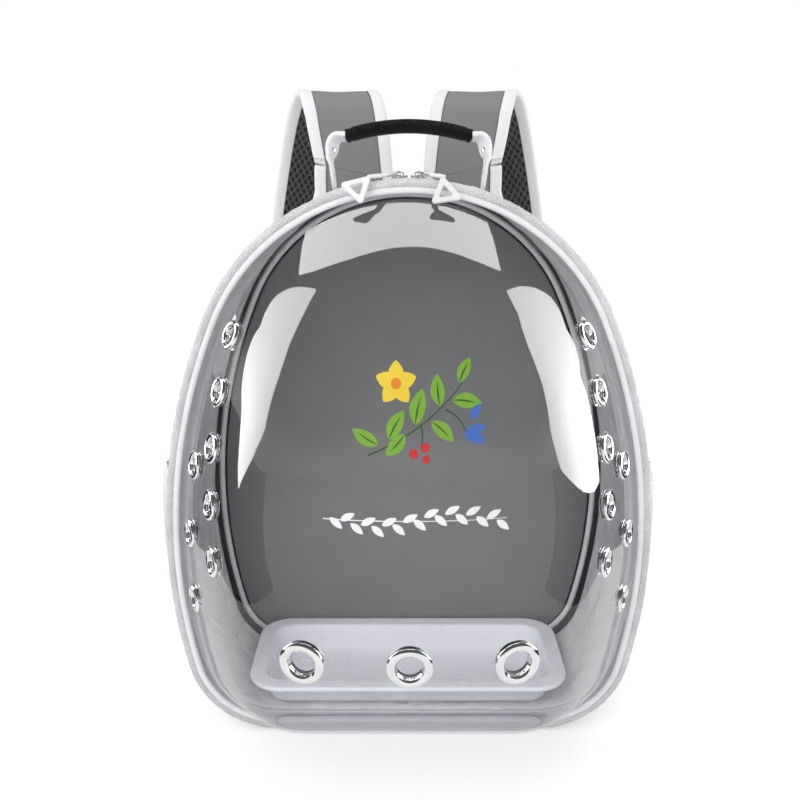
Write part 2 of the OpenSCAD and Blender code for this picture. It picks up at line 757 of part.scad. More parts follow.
// Sewn root of a strap, from the yoke up to where the strap starts to bend
root_l = 66;
module strap_root() {
    top = strap_head + strap_axis * play;
    low = strap_head + strap_axis * root_l;
    t = -strap_axis;
    w = across(t);
    o = cross(w, t);
    sweep([for (p = [low, top]) [for (q = slab(-pad_half, pad_half, -mesh_t, patch_gap + seat))
        p + q[0] * w + q[1] * o]]);
}

web_out = 0.6;
web_thick = 1.8;
module strap_web()
    color("whitesmoke")
        strap_sweep(web_line, slab(-web_w / 2, web_w / 2, web_out, web_out + web_thick), strap_steps);

// Ladder lock at the strap's lower end: a frame with two cross bars
lock_l = 24;
lock_t = 3.5;
lock_rim = 5;
lock_slot = 4;
lock_bar = 3;
module ladder_lock() {
    p = curve(strap_points(web_line), strap_steps);
    t = along(p, 1);
    w = across(t);
    o = cross(w, t);
    c = p[0] + t * (lock_l / 2 + play) + o * (web_out + web_thick + lock_t / 2 + play);
    multmatrix([[w[0], t[0], o[0], c[0]], [w[1], t[1], o[1], c[1]], [w[2], t[2], o[2], c[2]]])
        color("#202020") linear_extrude(lock_t, center = true) difference() {
            offset(2) square([web_w + 2 * lock_rim - 4, lock_l - 4], center = true);
            for (k = [-1:1]) translate([0, k * (lock_slot + lock_bar)])
                square([web_w + 1.5, lock_slot], center = true);
        }
}

// Side pockets

pocket_t = 1.4;
pocket_y = (rear_d - pocket_d) / 2 + 2;
pocket_n = 10;
// Points of the outline between which a pocket climbs the wall
pocket_low = corner_n / 2;
function side_row(z) = let(c = centres(form(0.5)))
    side_from + round((asin((z - c[1]) / side_r) - c[5]) / (c[6] - c[5]) * side_n);
pocket_rows = side_row(pocket_h) - pocket_low;

// How far the pocket stands out at shares u along Y and v up the wall
function bulge(u, v) = pocket_out * pow(max(0, sin(180 * u)), 0.55) * pow(sin(115 * v), 0.6);

function pocket_point(i, j, inner) = let(
        y = pocket_y + pocket_d * j / pocket_n,
        out = seat + (inner ? 0 : pocket_t) + bulge(j / pocket_n, (i - pocket_low) / pocket_rows),
        q = edge(form_at(y), out)[i])
    [q[0], rim_y + y, q[1]];

module side_pocket()
    color("whitesmoke") sweep([for (i = [pocket_low:pocket_low + pocket_rows])
        concat([for (j = [0:pocket_n]) pocket_point(i, j, false)],
            [for (j = [pocket_n:-1:0]) pocket_point(i, j, true)])]);

// Elastic hem above the pocket's mouth, drawn in towards the wall
band_h = 9;
band_lean = 2;
module pocket_band() {
    i = pocket_low + pocket_rows;
    up = [0, 0, seat];
    color("white") sweep([for (j = [0:pocket_n]) let(
            a = pocket_point(i, j, false), b = pocket_point(i, j, true),
            rise = [j > 0 && j < pocket_n ? -band_lean : 0, 0, band_h])
        [b + up, b + rise, a + rise, a + up]]);
}

module left() mirror([1, 0, 0]) children();

base_panel();
side_gusset();
gusset_lining();
back_board();
back_lining();
back_piping();
seam_binding();
back_pad();
strap_yoke();
zip_tape_rear();
hinge_strip(zip_gap, tape_w - seat);  // hinge_strip_rear
left() side_pocket();  // side_pocket_left
side_pocket();  // side_pocket_right
left() pocket_band();  // pocket_band_left
pocket_band();  // pocket_band_right
handle_anchors();
strap_anchors();
dome_shell();
dome_welt();
zip_tape_front();
hinge_strip(seat - front_tape_w, -zip_gap);  // hinge_strip_front
front_eyelets();
front_washers();
left() side_eyelets();  // side_eyelets_left
side_eyelets();  // side_eyelets_right
left() side_washers();  // side_washers_left
side_washers();  // side_washers_right
slider(-1);  // slider_left
slider(1);  // slider_right
pull_ring(-1);  // pull_ring_left
pull_ring(1);  // pull_ring_right
pull_tab(-1, left_pull[0], left_pull[1]);  // pull_tab_left
pull_tab(1, right_pull[0], right_pull[1]);  // pull_tab_right
handle_grip();
handle_webbing();
tray();
left() strap_pad();  // strap_pad_left
strap_pad();  // strap_pad_right
left() strap_mesh();  // strap_mesh_left
strap_mesh();  // strap_mesh_right
left() strap_binding();  // strap_binding_left
strap_binding();  // strap_binding_right
left() strap_web();  // strap_web_left
strap_web();  // strap_web_right
left() ladder_lock();  // ladder_lock_left
ladder_lock();  // ladder_lock_right
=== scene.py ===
"""Bird travel carrier: a white soft backpack shell with a clear, vented dome zipped to its front."""
import math
import bmesh
import bpy
import numpy as np
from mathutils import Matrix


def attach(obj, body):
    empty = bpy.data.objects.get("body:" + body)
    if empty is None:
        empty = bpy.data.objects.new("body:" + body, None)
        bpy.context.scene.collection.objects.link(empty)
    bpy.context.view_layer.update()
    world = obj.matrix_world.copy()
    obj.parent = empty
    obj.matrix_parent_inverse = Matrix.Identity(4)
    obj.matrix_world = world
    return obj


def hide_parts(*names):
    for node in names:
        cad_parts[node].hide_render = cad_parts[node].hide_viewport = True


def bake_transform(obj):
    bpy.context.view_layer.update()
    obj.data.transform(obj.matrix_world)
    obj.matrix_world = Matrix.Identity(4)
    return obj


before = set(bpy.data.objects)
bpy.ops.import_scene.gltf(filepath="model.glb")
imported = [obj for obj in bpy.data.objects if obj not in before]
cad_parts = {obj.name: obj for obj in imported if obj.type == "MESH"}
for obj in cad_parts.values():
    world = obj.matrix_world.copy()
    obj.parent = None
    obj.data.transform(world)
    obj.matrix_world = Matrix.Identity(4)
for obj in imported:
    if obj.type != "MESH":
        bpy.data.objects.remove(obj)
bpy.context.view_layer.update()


# Base board
# A flat plastic board stiffens the floor of the shell, and the carrier stands on it. It is die-cut
# from matt white sheet, so it keeps the CAD shape and gets a fine moulded grain with scuffs.

def add(tree, kind, inputs=(), **settings):
    """A shader node with its settings, its inputs set to numbers or linked to sockets."""
    made = tree.nodes.new("ShaderNode" + kind)
    for key, value in settings.items():
        setattr(made, key, value)
    for key, value in dict(inputs).items():
        if isinstance(value, bpy.types.NodeSocket):
            tree.links.new(value, made.inputs[key])
        else:
            made.inputs[key].default_value = value
    return made


def maths(tree, operation, *values):
    """One Math node over one to three numbers or sockets, and its result."""
    return add(tree, "Math", enumerate(values), operation=operation).outputs[0]


def noise(tree, at, scale, detail=2.0, roughness=0.5, distortion=0.0, gives="Fac"):
    """Noise at a socket of coordinates."""
    inputs = {"Vector": at, "Scale": scale, "Detail": detail, "Roughness": roughness,
              "Distortion": distortion}
    return add(tree, "TexNoise", inputs).outputs[gives]


def smooth(tree, value, low, high, kind="SMOOTHSTEP"):
    """A value eased from 0 at low to 1 at high."""
    return add(tree, "MapRange", {0: value, 1: low, 2: high}, interpolation_type=kind).outputs[0]


def group(name, takes, gives):
    """Turns the function below it into a shader node group with inputs (name, kind, value) and float
    outputs. The function gets the tree and the input sockets, and returns what the outputs give."""
    def made_by(build):
        """The group's tree, with what build puts in it."""
        tree = bpy.data.node_groups.new(name, "ShaderNodeTree")
        for label, kind, value in takes:
            socket = tree.interface.new_socket(label, in_out="INPUT", socket_type="NodeSocket" + kind)
            if value is not None:
                socket.default_value = value
        for label in gives:
            tree.interface.new_socket(label, in_out="OUTPUT", socket_type="NodeSocketFloat")
        inputs = tree.nodes.new("NodeGroupInput").outputs
        outputs = tree.nodes.new("NodeGroupOutput").inputs
        for label, result in zip(gives, build(tree, inputs)):
            tree.links.new(result, outputs[label])
        return tree
    return made_by


def pattern(name, size=0.001, gives=("Height", "Shade")):
    """A node group that takes coordinates and the size of its figure in metres. The function below it
    gets the coordinates counted in figures, and returns values from 0 to 1: for a relief its height,
    and a shade that varies the colour."""
    def made_by(build):
        """The pattern's tree, with what build puts in it."""
        def counted(tree, takes):
            """What build gives at the coordinates divided by the size."""
            times = maths(tree, "DIVIDE", 1.0, takes["Size"])
            at = add(tree, "VectorMath", {"Vector": takes["Coordinates"], "Scale": times}, operation="SCALE")
            return build(tree, at.outputs[0])
        return group(name, [("Coordinates", "Vector", None), ("Size", "Float", size)], gives)(counted)
    return made_by


@pattern("Fine moulded grain")
def fine_grain(tree, at):
    """Fine noise, with a broad cloud as the shade."""
    return noise(tree, at, 1.0, 4.0, 0.6), noise(tree, at, 0.03, 3.0)


@pattern("Handling marks", 0.05, ("Smudge", "Dust"))
def handling(tree, at):
    """Broad smudges where noise is high, and specks of dust from noise 28 times finer."""
    cloud = noise(tree, at, 1.0, 5.0, 0.65, 0.6)
    return smooth(tree, cloud, 0.45, 0.75), smooth(tree, noise(tree, at, 28.0, 6.0, 0.8), 0.62, 0.78)


def finish(name, colour, roughness, relief, size, depth, tone=0.12, wear=0.1, space="UV", over=None,
           turn=None, **plain):
    """A material: its colour darkened by tone * Shade and wear * Smudge, roughness raised where it is
    handled, and a Bump of the relief with that size and depth in metres. over(tree, at, colour,
    height) may add seams and threads, and gives colour and height back. turn turns the pattern."""
    made = bpy.data.materials.new(name)
    made.use_nodes = True
    made.diffuse_color = (*colour, 1)
    tree = made.node_tree
    shader = tree.nodes["Principled BSDF"]
    for key, value in plain.items():
        shader.inputs[key.replace("_", " ")].default_value = value
    at = tree.nodes.new("ShaderNodeTexCoord").outputs[space]
    if turn:
        at = add(tree, "Mapping", {"Vector": at, "Rotation": turn}).outputs[0]
    shape, marks = (add(tree, "Group", {"Coordinates": at, "Size": figure}, node_tree=shared)
                    for shared, figure in ((relief, size), (handling, 0.05)))
    light = maths(tree, "MULTIPLY_ADD", shape.outputs["Shade"], -tone, 1 + tone / 2)
    light = maths(tree, "MULTIPLY", light, maths(tree, "MULTIPLY_ADD", marks.outputs["Smudge"], -wear, 1.0))
    tint = add(tree, "VectorMath", {0: (*colour,), "Scale": light}, operation="SCALE").outputs[0]
    height = shape.outputs["Height"]
    if over:
        tint, height = over(tree, at, tint, height)
    tree.links.new(tint, shader.inputs["Base Color"])
    rough = maths(tree, "MULTIPLY_ADD", marks.outputs["Dust"], 0.12, roughness)
    rough = maths(tree, "MULTIPLY_ADD", marks.outputs["Smudge"], 0.08, rough)
    tree.links.new(rough, shader.inputs["Roughness"])
    bump = add(tree, "Bump", {"Height": height, "Strength": 1.0, "Distance": depth})
    tree.links.new(bump.outputs[0], shader.inputs["Normal"])
    return made


white = (0.80, 0.80, 0.82)
board_finish = finish("White plastic board", white, 0.5, fine_grain, 0.0009, 0.00006, space="Object")
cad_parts["base_panel"].data.materials.clear()
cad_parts["base_panel"].data.materials.append(board_finish)


# Side wall and its silver lining
# One long panel of grained coated leather runs round the base, sides and top, over a stiffener, and
# a silver-grey coated cloth lines it. The lining is glued only here and there, so it crinkles.
rim_y, back_y, rear_d = -59.0, 115.0, 118.0
arch_r, flank_r, corner_r, draw_in = 150.0, 430.0, 66.0, 12.0
arch_z, under_z, flank_x = 259.5, 2.5, -257.0
mm = 0.001


def outline(y, out, w):
    """Points on the shell's outline at depth y behind the zip, moved out. w counts the stretches of
    the right half: 0-1 half the base, 1-2 the corner's arc, 2-3 the side's arc, 3-4 half the top
    arch, and 4-8 the same down the left half. Towards the back all three radii shrink by draw_in."""
    y, out, w = np.broadcast_arrays(np.asarray(y, float), out, w)
    less = draw_in * (np.clip(y, 0, None) / rear_d)
    top, side, corner = arch_r - less, flank_r - less, corner_r - less
    zc = under_z + corner
    zs = arch_z - math.sqrt((flank_r - arch_r) ** 2 - flank_x ** 2)
    xc = flank_x + np.sqrt((side - corner) ** 2 - (zs - zc) ** 2)
    low = np.arctan2(zc - zs, xc - flank_x)
    high = math.atan2(arch_z - zs, -flank_x)
    v = np.where(w > 4, 8 - w, w)
    k = np.clip(np.floor(v), 0, 3)
    f = v - k
    arcs = [k == 1, k == 2]
    start = np.select(arcs, [-math.pi / 2, low], high)
    end = np.select(arcs, [low, high], math.pi / 2)
    a = start + (end - start) * f
    r = np.select(arcs, [corner, side], top) + out
    x = np.where(k == 0, xc * f, np.select(arcs, [xc, flank_x], 0.0) + r * np.cos(a))
    z = np.where(k == 0, under_z - out, np.select(arcs, [zc, zs], arch_z) + r * np.sin(a))
    return np.stack([np.where(w > 4, -x, x), y + rim_y, z], -1)


def even(start, end, step, y=0.0, out=0.0):
    """Values of w from start to end, a step apart along the outline, by inverting its length."""
    w = np.linspace(start, end, 4001)
    length = measured(outline(y, out, w % 8))
    return np.interp(np.linspace(0, length[-1], int(round(length[-1] / step)) + 1), length, w) % 8


def measured(path):
    """The length along a path up to each of its points."""
    return np.concatenate([[0], np.cumsum(np.linalg.norm(np.diff(path, axis=0), axis=1))])


def skin(name, *parts, inward=False, wall=0.0):
    """An object from grids of points in mm: a bare grid has its columns closed to a tube, and ring and
    sheet mark the others. Quads join neighbours, doubled points are merged, and faces turn away from
    the shell's middle or out of a closed part. The UV map holds metres along columns and rows."""
    points, faces, maps, count = [], [], [], 0
    for part in parts:
        grid, *closed = part if isinstance(part, tuple) else (part, False, True)
        rows, cols = grid.shape[:2]
        a = np.arange(rows - (not closed[0]))[:, None]
        b = np.arange(cols - (not closed[1]))
        turn = np.concatenate([grid, grid[:1]], 0) if closed[0] else grid
        turn = np.concatenate([turn, turn[:, :1]], 1) if closed[1] else turn
        steps = [np.linalg.norm(np.diff(turn, axis=k), axis=-1).mean(1 - k) for k in (1, 0)]
        u, v = (np.concatenate([[0], np.cumsum(step)]) * mm for step in steps)
        corners = [(0, 0), (0, 1), (1, 1), (1, 0)]
        quads = np.stack([(a + i) % rows * cols + (b + j) % cols for i, j in corners], -1).reshape(-1, 4)
        uv = [np.stack(np.broadcast_arrays(u[b + j], v[a + i]), -1) for i, j in corners]
        uv = np.stack(uv, 2).reshape(-1, 4, 2)
        flat = grid.reshape(-1, 3)
        p = (flat - (0, 0, 200))[quads]
        volume = sum(np.einsum("ij,ij->i", p[:, 0], np.cross(p[:, i], p[:, i + 1])).sum() for i in (1, 2))
        if (volume < 0) != inward:
            quads, uv = quads[:, ::-1], uv[:, ::-1]
        points.append(flat * mm)
        faces.append(quads + count)
        maps.append(uv.reshape(-1, 2))
        count += len(flat)
    mesh = bpy.data.meshes.new(name)
    mesh.from_pydata(np.concatenate(points).tolist(), [], np.concatenate(faces).tolist())
    mesh.uv_layers.new(name="UVMap").data.foreach_set("uv", np.concatenate(maps).ravel())
    shape = bmesh.new()
    shape.from_mesh(mesh)
    bmesh.ops.remove_doubles(shape, verts=shape.verts, dist=2e-6)
    shape.to_mesh(mesh)
    shape.free()
    mesh.polygons.foreach_set("use_smooth", np.ones(len(mesh.polygons), bool))
    made = bpy.data.objects.new(name, mesh)
    bpy.context.collection.objects.link(made)
    if wall:
        solid = made.modifiers.new("Wall", "SOLIDIFY")
        solid.thickness, solid.offset = wall * mm, -1
    return made


def ring(grid):
    """A grid for skin, closed both ways."""
    return grid, True, True


def place(made, material, body, slot, *nodes):
    """Gives a piece its material and body, and hides the CAD nodes it stands for. The slot is not used.
    A piece whose body is None is attached to none."""
    made.data.materials.append(material)
    if body:
        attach(made, body)
    if nodes:
        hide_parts(*nodes)
    return made


def ripple(a, b, seed, waves=7):
    """A soft unevenness from -1 to 1: a few sines of a and b with seeded directions and phases."""
    pick = np.random.default_rng(seed)
    limits = ((0, math.pi), (0, 6.28), (0.6, 2.2))
    waving = zip(*[pick.uniform(low, high, waves) for low, high in limits])
    return sum(np.sin(length * (a * np.cos(angle) + b * np.sin(angle)) + phase)
               for angle, phase, length in waving) / waves ** 0.5


def cracked(tree, at, bend, scale, randomness):
    """Distance to the edges of cells whose borders are bent by coloured noise, and the bent place."""
    moved = add(tree, "VectorMath", {0: at, 1: bend}, operation="ADD").outputs[0]
    inputs = {"Vector": moved, "Scale": scale, "Randomness": randomness}
    return add(tree, "TexVoronoi", inputs, feature="DISTANCE_TO_EDGE").outputs["Distance"], moved


@pattern("Leather grain")
def leather_grain(tree, at):
    """Pebbles: rounded cells with creases between them, and fine noise over them. The shade is a broad cloud,
    darker in the creases than on the pebbles: painted shade.
    """
    edge, _ = cracked(tree, at, noise(tree, at, 0.7, gives="Color"), 1.0, 0.9)
    pebble = smooth(tree, edge, 0.0, 0.28)
    dark = maths(tree, "MULTIPLY_ADD", pebble, -0.45, noise(tree, at, 0.05, 3.0))
    return maths(tree, "MULTIPLY_ADD", noise(tree, at, 3.0, 3.0), 0.35, pebble), maths(tree, "ADD", dark, 0.3)


@pattern("Crinkled coated cloth")
def crinkle(tree, at):
    """Sharp-edged folds: cells with their borders bent by noise, and smaller noise."""
    edge, moved = cracked(tree, at, noise(tree, at, 0.8, 3.0, gives="Color"), 0.8, 1.0)
    small = noise(tree, moved, 2.6, 5.0, 0.6)
    fold = smooth(tree, edge, 0.0, 0.35, "SMOOTHERSTEP")
    return maths(tree, "MULTIPLY_ADD", small, 0.8, fold), small


leather = finish("White grained leather", white, 0.40, leather_grain, 0.0012, 0.00016, Coat_Weight=0.15,
                 Coat_Roughness=0.3)
silver = finish("Silver lining", (0.84, 0.84, 0.85), 0.32, crinkle, 0.022, 0.0010, tone=0.25, Metallic=0.12)

# The wall's outer face puckers by 0.35 mm * sqrt(sin(180 share)) between its two seams, and its inner
# face lies flat. The lining crumples by 0.35 mm, and a near-black strip over its rear edge is painted
# shade in the corner by the back.
round_w = even(0, 8, 4.0)[:-1]
wall_d = 9.0
depth = np.linspace(wall_d, back_y, 28)[:, None]
share = (depth - wall_d) / (back_y - wall_d)
pucker = 0.35 * np.sin(math.pi * share) ** 0.5 * ripple(depth / 22, round_w * 14, 3)
wall = np.concatenate([outline(depth, -0.35 + pucker, round_w), outline(depth[::-1], -1.9, round_w)])
place(skin("side_wall", ring(wall)), leather, "shell", "white_leather", "side_gusset")

depth = np.linspace(8.6, back_y - 0.4, 26)[:, None]
crumple = 0.35 * ripple(depth / 11, round_w * 24, 8)
lining = skin("silver_lining", outline(depth, -2.6 - crumple, round_w), inward=True, wall=0.5)
place(lining, silver, "shell", "silver_lining", "gusset_lining")

# A near-black strip along the lining's rear edge: painted shade in the corner where it meets the piping.
corner_shade_tape = finish("Painted corner shade tape", (0.020, 0.020, 0.021), 0.7, fine_grain, 0.0005, 0.00004, tone=0.3,
                   wear=0.0)
depth = np.array([101.5, 102, 107, 113.4, 114.3, 114.6, 114.6])[:, None]
lift = np.array([-3.2, -3.5, -3.6, -3.6, -4.2, -6, -12])[:, None]
tape = skin("corner_shade_strip", outline(depth, lift, round_w), inward=True, wall=0.3)
place(tape, corner_shade_tape, "shell", "black_mesh")


# Back board
# The stiff back of the shell: a board laminated in the same grained leather as the side wall. It is
# flat, with a rounded edge that the seam binding covers.
heart = (0, 190)


def plate(loop, low, high, edge=0.8, crown=0.0, middle=None, count=9):
    """A closed rounded plate between depths low and high over a loop of [a, b] points, as [a, b,
    depth]. Rows run from the middle to the loop and back; the edge is half a circle, and the high
    side rises by crown towards the middle as 1 - share ** 4."""
    middle = loop.mean(0) if middle is None else np.asarray(middle)
    reach = np.linalg.norm(loop - middle, axis=1)
    share = np.sin(np.linspace(0, math.pi / 2, count))
    turn = np.linspace(0, math.pi, 7)[1:-1]
    share = np.concatenate([share, np.ones(len(turn)), share[::-1]])
    inset = edge * np.concatenate([np.ones(count), 1 - np.sin(turn), np.ones(count)])
    rim = (low + high) / 2 - (high - low) / 2 * np.cos(turn)
    deep = np.concatenate([np.full(count, low), rim, np.full(count, high)])
    deep[-count:] += crown * (1 - share[-count:] ** 4)
    spread = np.minimum(share[:, None] * (reach - edge) + (edge - inset[:, None]), reach)
    flat = middle + (loop - middle) / reach[:, None] * spread[..., None]
    return np.concatenate([flat, np.broadcast_to(deep[:, None, None], (*flat.shape[:2], 1))], 2)


def upright(grid, y=0.0, way=1):
    """A plate's [a, b, depth] as x, z and depth behind the zip, from y on, or forward with way -1."""
    return np.stack([grid[..., 0], rim_y + y + way * grid[..., 2], grid[..., 1]], -1)


def loop_at(y, out, step=4.0):
    """The shell's outline at depth y as [x, z] points."""
    return outline(y, out, even(0, 8, step, y, out)[:-1])[:, [0, 2]]


board = plate(loop_at(rear_d, 0.05), back_y, rear_d, 1.2, middle=heart)
place(skin("back_board", upright(board)), leather, "shell", "white_cloth", "back_board")


# Grey panel inside the back, with its piping
# A grey coated cloth over thin foam, sewn into the corner all round under a cord covered in white
# leather. The foam crowns the panel a little, and it draws in under the piping.

@pattern("Plain weave")
def weave(tree, at):
    """sin(pi u) sin(pi v) for the crossing yarns, with noise for their fluff."""
    u, v, _ = add(tree, "SeparateXYZ", {0: at}).outputs
    yarns = [maths(tree, "SINE", maths(tree, "MULTIPLY", k, math.pi)) for k in (u, v)]
    cross = maths(tree, "MULTIPLY", *yarns)
    fluff = maths(tree, "MULTIPLY_ADD", noise(tree, at, 0.9, 3.0), 0.5, 0.3)
    broad = noise(tree, at, 0.012, 4.0)
    return maths(tree, "MULTIPLY_ADD", cross, 0.35, fluff), maths(tree, "MULTIPLY_ADD", cross, -0.06, broad)


grey_foam = finish("Grey coated cloth panel", (0.180, 0.180, 0.182), 0.55, weave, 0.0005, 0.000012, tone=0.1,
                   wear=0.04, Sheen_Weight=0.08, Sheen_Roughness=0.5)
panel = plate(loop_at(back_y, -9.1), 0.3, 2.6, 1.0, crown=0.9, middle=heart, count=22)
panel[..., 2] += 0.28 * ripple(panel[..., 0] / 38, panel[..., 1] / 38, 5) * (panel[..., 2] > 2.0)
grey_panel = skin("grey_panel", upright(panel, back_y, -1))
place(grey_panel, grey_foam, "shell", "grey_quilt", "back_lining")

piping_leather = finish("Piping leather", white, 0.38, leather_grain, 0.0009, 0.0001, Coat_Weight=0.2,
                        Coat_Roughness=0.25)
round_w = even(0, 8, 3.0)[:-1]


def circle(count):
    """Angles round a full turn."""
    return np.linspace(0, 2 * math.pi, count + 1)[:-1]


def cord_round(w, depth, out, radius):
    """A round cord along the outline at that depth and distance out, its radius given at each w."""
    a = circle(16)[:, None]
    return ring(outline(depth + radius * np.cos(a), out + radius * np.sin(a), w))


piping = cord_round(round_w, back_y - 2.55, -5.6, 2.42 + 0.06 * np.sin(round_w * 160))
place(skin("back_piping", piping), piping_leather, "shell", "white_piping", "back_piping")


# Binding over the back seam
# A strip of leather is folded over the edge where the side wall meets the back board, and sewn
# through with a row of white thread.

@group("Rows of stitches", [("Coordinates", "Vector", None), ("Middle", "Float", 0.0),
                            ("Apart", "Float", 0.0), ("Pitch", "Float", 0.0035),
                            ("Width", "Float", 0.0004)], ("Thread", "Seam"))
def rows_of_thread(tree, takes):
    """One or two rows about Middle: each stitch is where (along / 0.38) ** 4 + (side / Width) ** 2 is
    under 1, and the seam is a band 3.5 widths to either side."""
    u, v, _ = add(tree, "SeparateXYZ", {0: takes["Coordinates"]}).outputs
    step = maths(tree, "FRACT", maths(tree, "DIVIDE", u, takes["Pitch"]))
    along = maths(tree, "DIVIDE", maths(tree, "SUBTRACT", step, 0.5), 0.38)
    off = maths(tree, "ABSOLUTE", maths(tree, "SUBTRACT", v, takes["Middle"]))
    off = maths(tree, "ABSOLUTE", maths(tree, "SUBTRACT", off, maths(tree, "DIVIDE", takes["Apart"], 2.0)))
    side = maths(tree, "DIVIDE", off, takes["Width"])
    far = maths(tree, "ADD", maths(tree, "POWER", maths(tree, "ABSOLUTE", along), 4.0),
                maths(tree, "MULTIPLY", side, side))
    return smooth(tree, far, 1.0, 0.5), smooth(tree, side, 3.5, 0.8)


def sewn(middle, apart=0.0, pitch=3.5, width=0.42, sink=0.6, rise=1.4):
    """Stitch rows for finish: white thread in mm along the UV, in a sunk seam darkened as painted shade."""
    def over(tree, at, tint, height):
        """Colour and height with the stitches at those coordinates."""
        sizes = {"Middle": middle * mm, "Apart": apart * mm, "Pitch": pitch * mm, "Width": width * mm}
        rows = add(tree, "Group", {"Coordinates": at, **sizes}, node_tree=rows_of_thread)
        shadow = maths(tree, "MULTIPLY_ADD", rows.outputs["Seam"], -0.28, 1.0)
        tint = add(tree, "VectorMath", {0: tint, "Scale": shadow}, operation="SCALE").outputs[0]
        thread = {0: rows.outputs["Thread"], 6: tint, 7: (0.84, 0.84, 0.86, 1)}
        tint = add(tree, "Mix", thread, data_type="RGBA").outputs[2]
        height = maths(tree, "MULTIPLY_ADD", rows.outputs["Seam"], -sink, height)
        return tint, maths(tree, "MULTIPLY_ADD", rows.outputs["Thread"], rise, height)
    return over


def eased(points, times=2, closed=True):
    """A profile with its corners cut, each cut leaving the points 1/4 and 3/4 along every edge."""
    for _ in range(times):
        after = np.roll(points, -1, 0) if closed else points[1:]
        before = points if closed else points[:-1]
        cut = np.stack([0.75 * before + 0.25 * after, 0.25 * before + 0.75 * after], 1)
        cut = cut.reshape(-1, points.shape[1])
        points = cut if closed else np.concatenate([points[:1], cut, points[-1:]])
    return points


def profile(*points, times=2, closed=True):
    """An eased section to be carried round the outline: its points stand in rows, one column each."""
    return eased(np.array(points), times, closed)[:, None]


binding_leather = finish("Stitched binding leather", (0.79, 0.79, 0.81), 0.42, leather_grain, 0.001, 0.0002,
                         over=sewn(5.2))
fold = profile([107.0, 0.1], [107.0, 1.15], [112, 1.3], [118.2, 1.2], [119.2, -0.6], [119.2, -8],
               [118.1, -8], [118.1, 0.1])
fold = np.roll(fold, -3, 0)
pull = 0.12 * np.sin(round_w * 220) * (fold[..., 1] > 0.9)
binding = outline(fold[..., 0], fold[..., 1] + pull, round_w)
place(skin("seam_binding", ring(binding)), binding_leather, "shell", "white_leather", "seam_binding")


# Cushion on the wearer's side
# Foam under black air mesh, sewn to the back board round its edge and along three channels. The
# foam swells between the seams, so the cushion is blown up as cloth and the channels pressed in.

@pattern("Diamond air mesh")
def mesh_holes(tree, at):
    """|sin(pi (u + 0.62 v)) sin(pi (u - 0.62 v))|, whose high parts are the holes."""
    u, v, _ = add(tree, "SeparateXYZ", {0: at}).outputs
    slant = maths(tree, "MULTIPLY", v, 0.62)
    threads = [maths(tree, "MULTIPLY", maths(tree, way, u, slant), math.pi)
               for way in ("ADD", "SUBTRACT")]
    open_part = maths(tree, "MULTIPLY", *[maths(tree, "ABSOLUTE", maths(tree, "SINE", k)) for k in threads])
    hole = smooth(tree, open_part, 0.16, 0.42)
    yarn = maths(tree, "MULTIPLY_ADD", noise(tree, at, 6.0, 3.0), 0.3, 0.8)
    return maths(tree, "SUBTRACT", yarn, hole), hole


def air_mesh_like(name, colour, tone, **more):
    """Black air mesh: diamond holes 5.2 mm apart."""
    return finish(name, colour, 0.7, mesh_holes, 0.0052, 0.0011, tone=tone, wear=0.0, Sheen_Weight=0.25,
                  Sheen_Roughness=0.5, **more)


air_mesh_flat = air_mesh_like("Black air mesh by place", (0.030, 0.030, 0.032), 1.6, space="Object",
                              turn=(-math.pi / 2, 0, 0))


def rounded(half_x, half_y, radius, count=12):
    """A rectangle's loop of [a, b] points with round corners: four quarter arcs, joined straight."""
    a = np.linspace(0, math.pi / 2, count)
    middle = np.array([half_x - radius, half_y - radius])
    arcs = [np.stack([np.cos(a + k * math.pi / 2), np.sin(a + k * math.pi / 2)], 1) * radius + middle * way
            for k, way in enumerate([(1, 1), (-1, 1), (-1, -1), (1, -1)])]
    return np.concatenate(arcs)


def spaced(loop, step):
    """A closed loop's points again, a step apart along it."""
    closed = np.concatenate([loop, loop[:1]])
    length = measured(closed)
    at = np.linspace(0, length[-1], int(length[-1] / step) + 1)[:-1]
    return np.stack([np.interp(at, length, closed[:, k]) for k in range(closed.shape[1])], 1)


def spots_of(mesh):
    """The places of a mesh's points, in metres."""
    spots = np.empty(len(mesh.vertices) * 3)
    mesh.vertices.foreach_get("co", spots)
    return spots.reshape(-1, 3)


def settled(made):
    """A new mesh of a piece as its modifiers leave it."""
    return bpy.data.meshes.new_from_object(made.evaluated_get(bpy.context.evaluated_depsgraph_get()))


def plumped(made, cap):
    """Blows the piece up as cloth: a 5 mm voxel remesh, pressure 4 without gravity over frames 1 to
    20, each point moved by cap metres at most."""
    scene = bpy.context.scene
    remesh = made.modifiers.new("Remesh", "REMESH")
    remesh.mode, remesh.voxel_size = "VOXEL", 0.005
    start = settled(made)
    made.modifiers.remove(remesh)
    made.data = start
    rest = spots_of(start)
    cloth = made.modifiers.new("Cloth", "CLOTH")
    cloth.settings.use_pressure, cloth.settings.uniform_pressure_force = True, 4
    cloth.settings.effector_weights.gravity = 0
    cloth.point_cache.frame_end = 20
    for moment in range(1, 21):
        scene.frame_set(moment)
    step = spots_of(settled(made)) - rest
    made.modifiers.remove(cloth)
    scene.frame_set(1)
    far = np.linalg.norm(step, axis=1, keepdims=True)
    step *= np.minimum(1, cap / np.maximum(far, 1e-9))
    start.vertices.foreach_set("co", (rest + step).ravel())
    start.polygons.foreach_set("use_smooth", np.ones(len(start.polygons), bool))


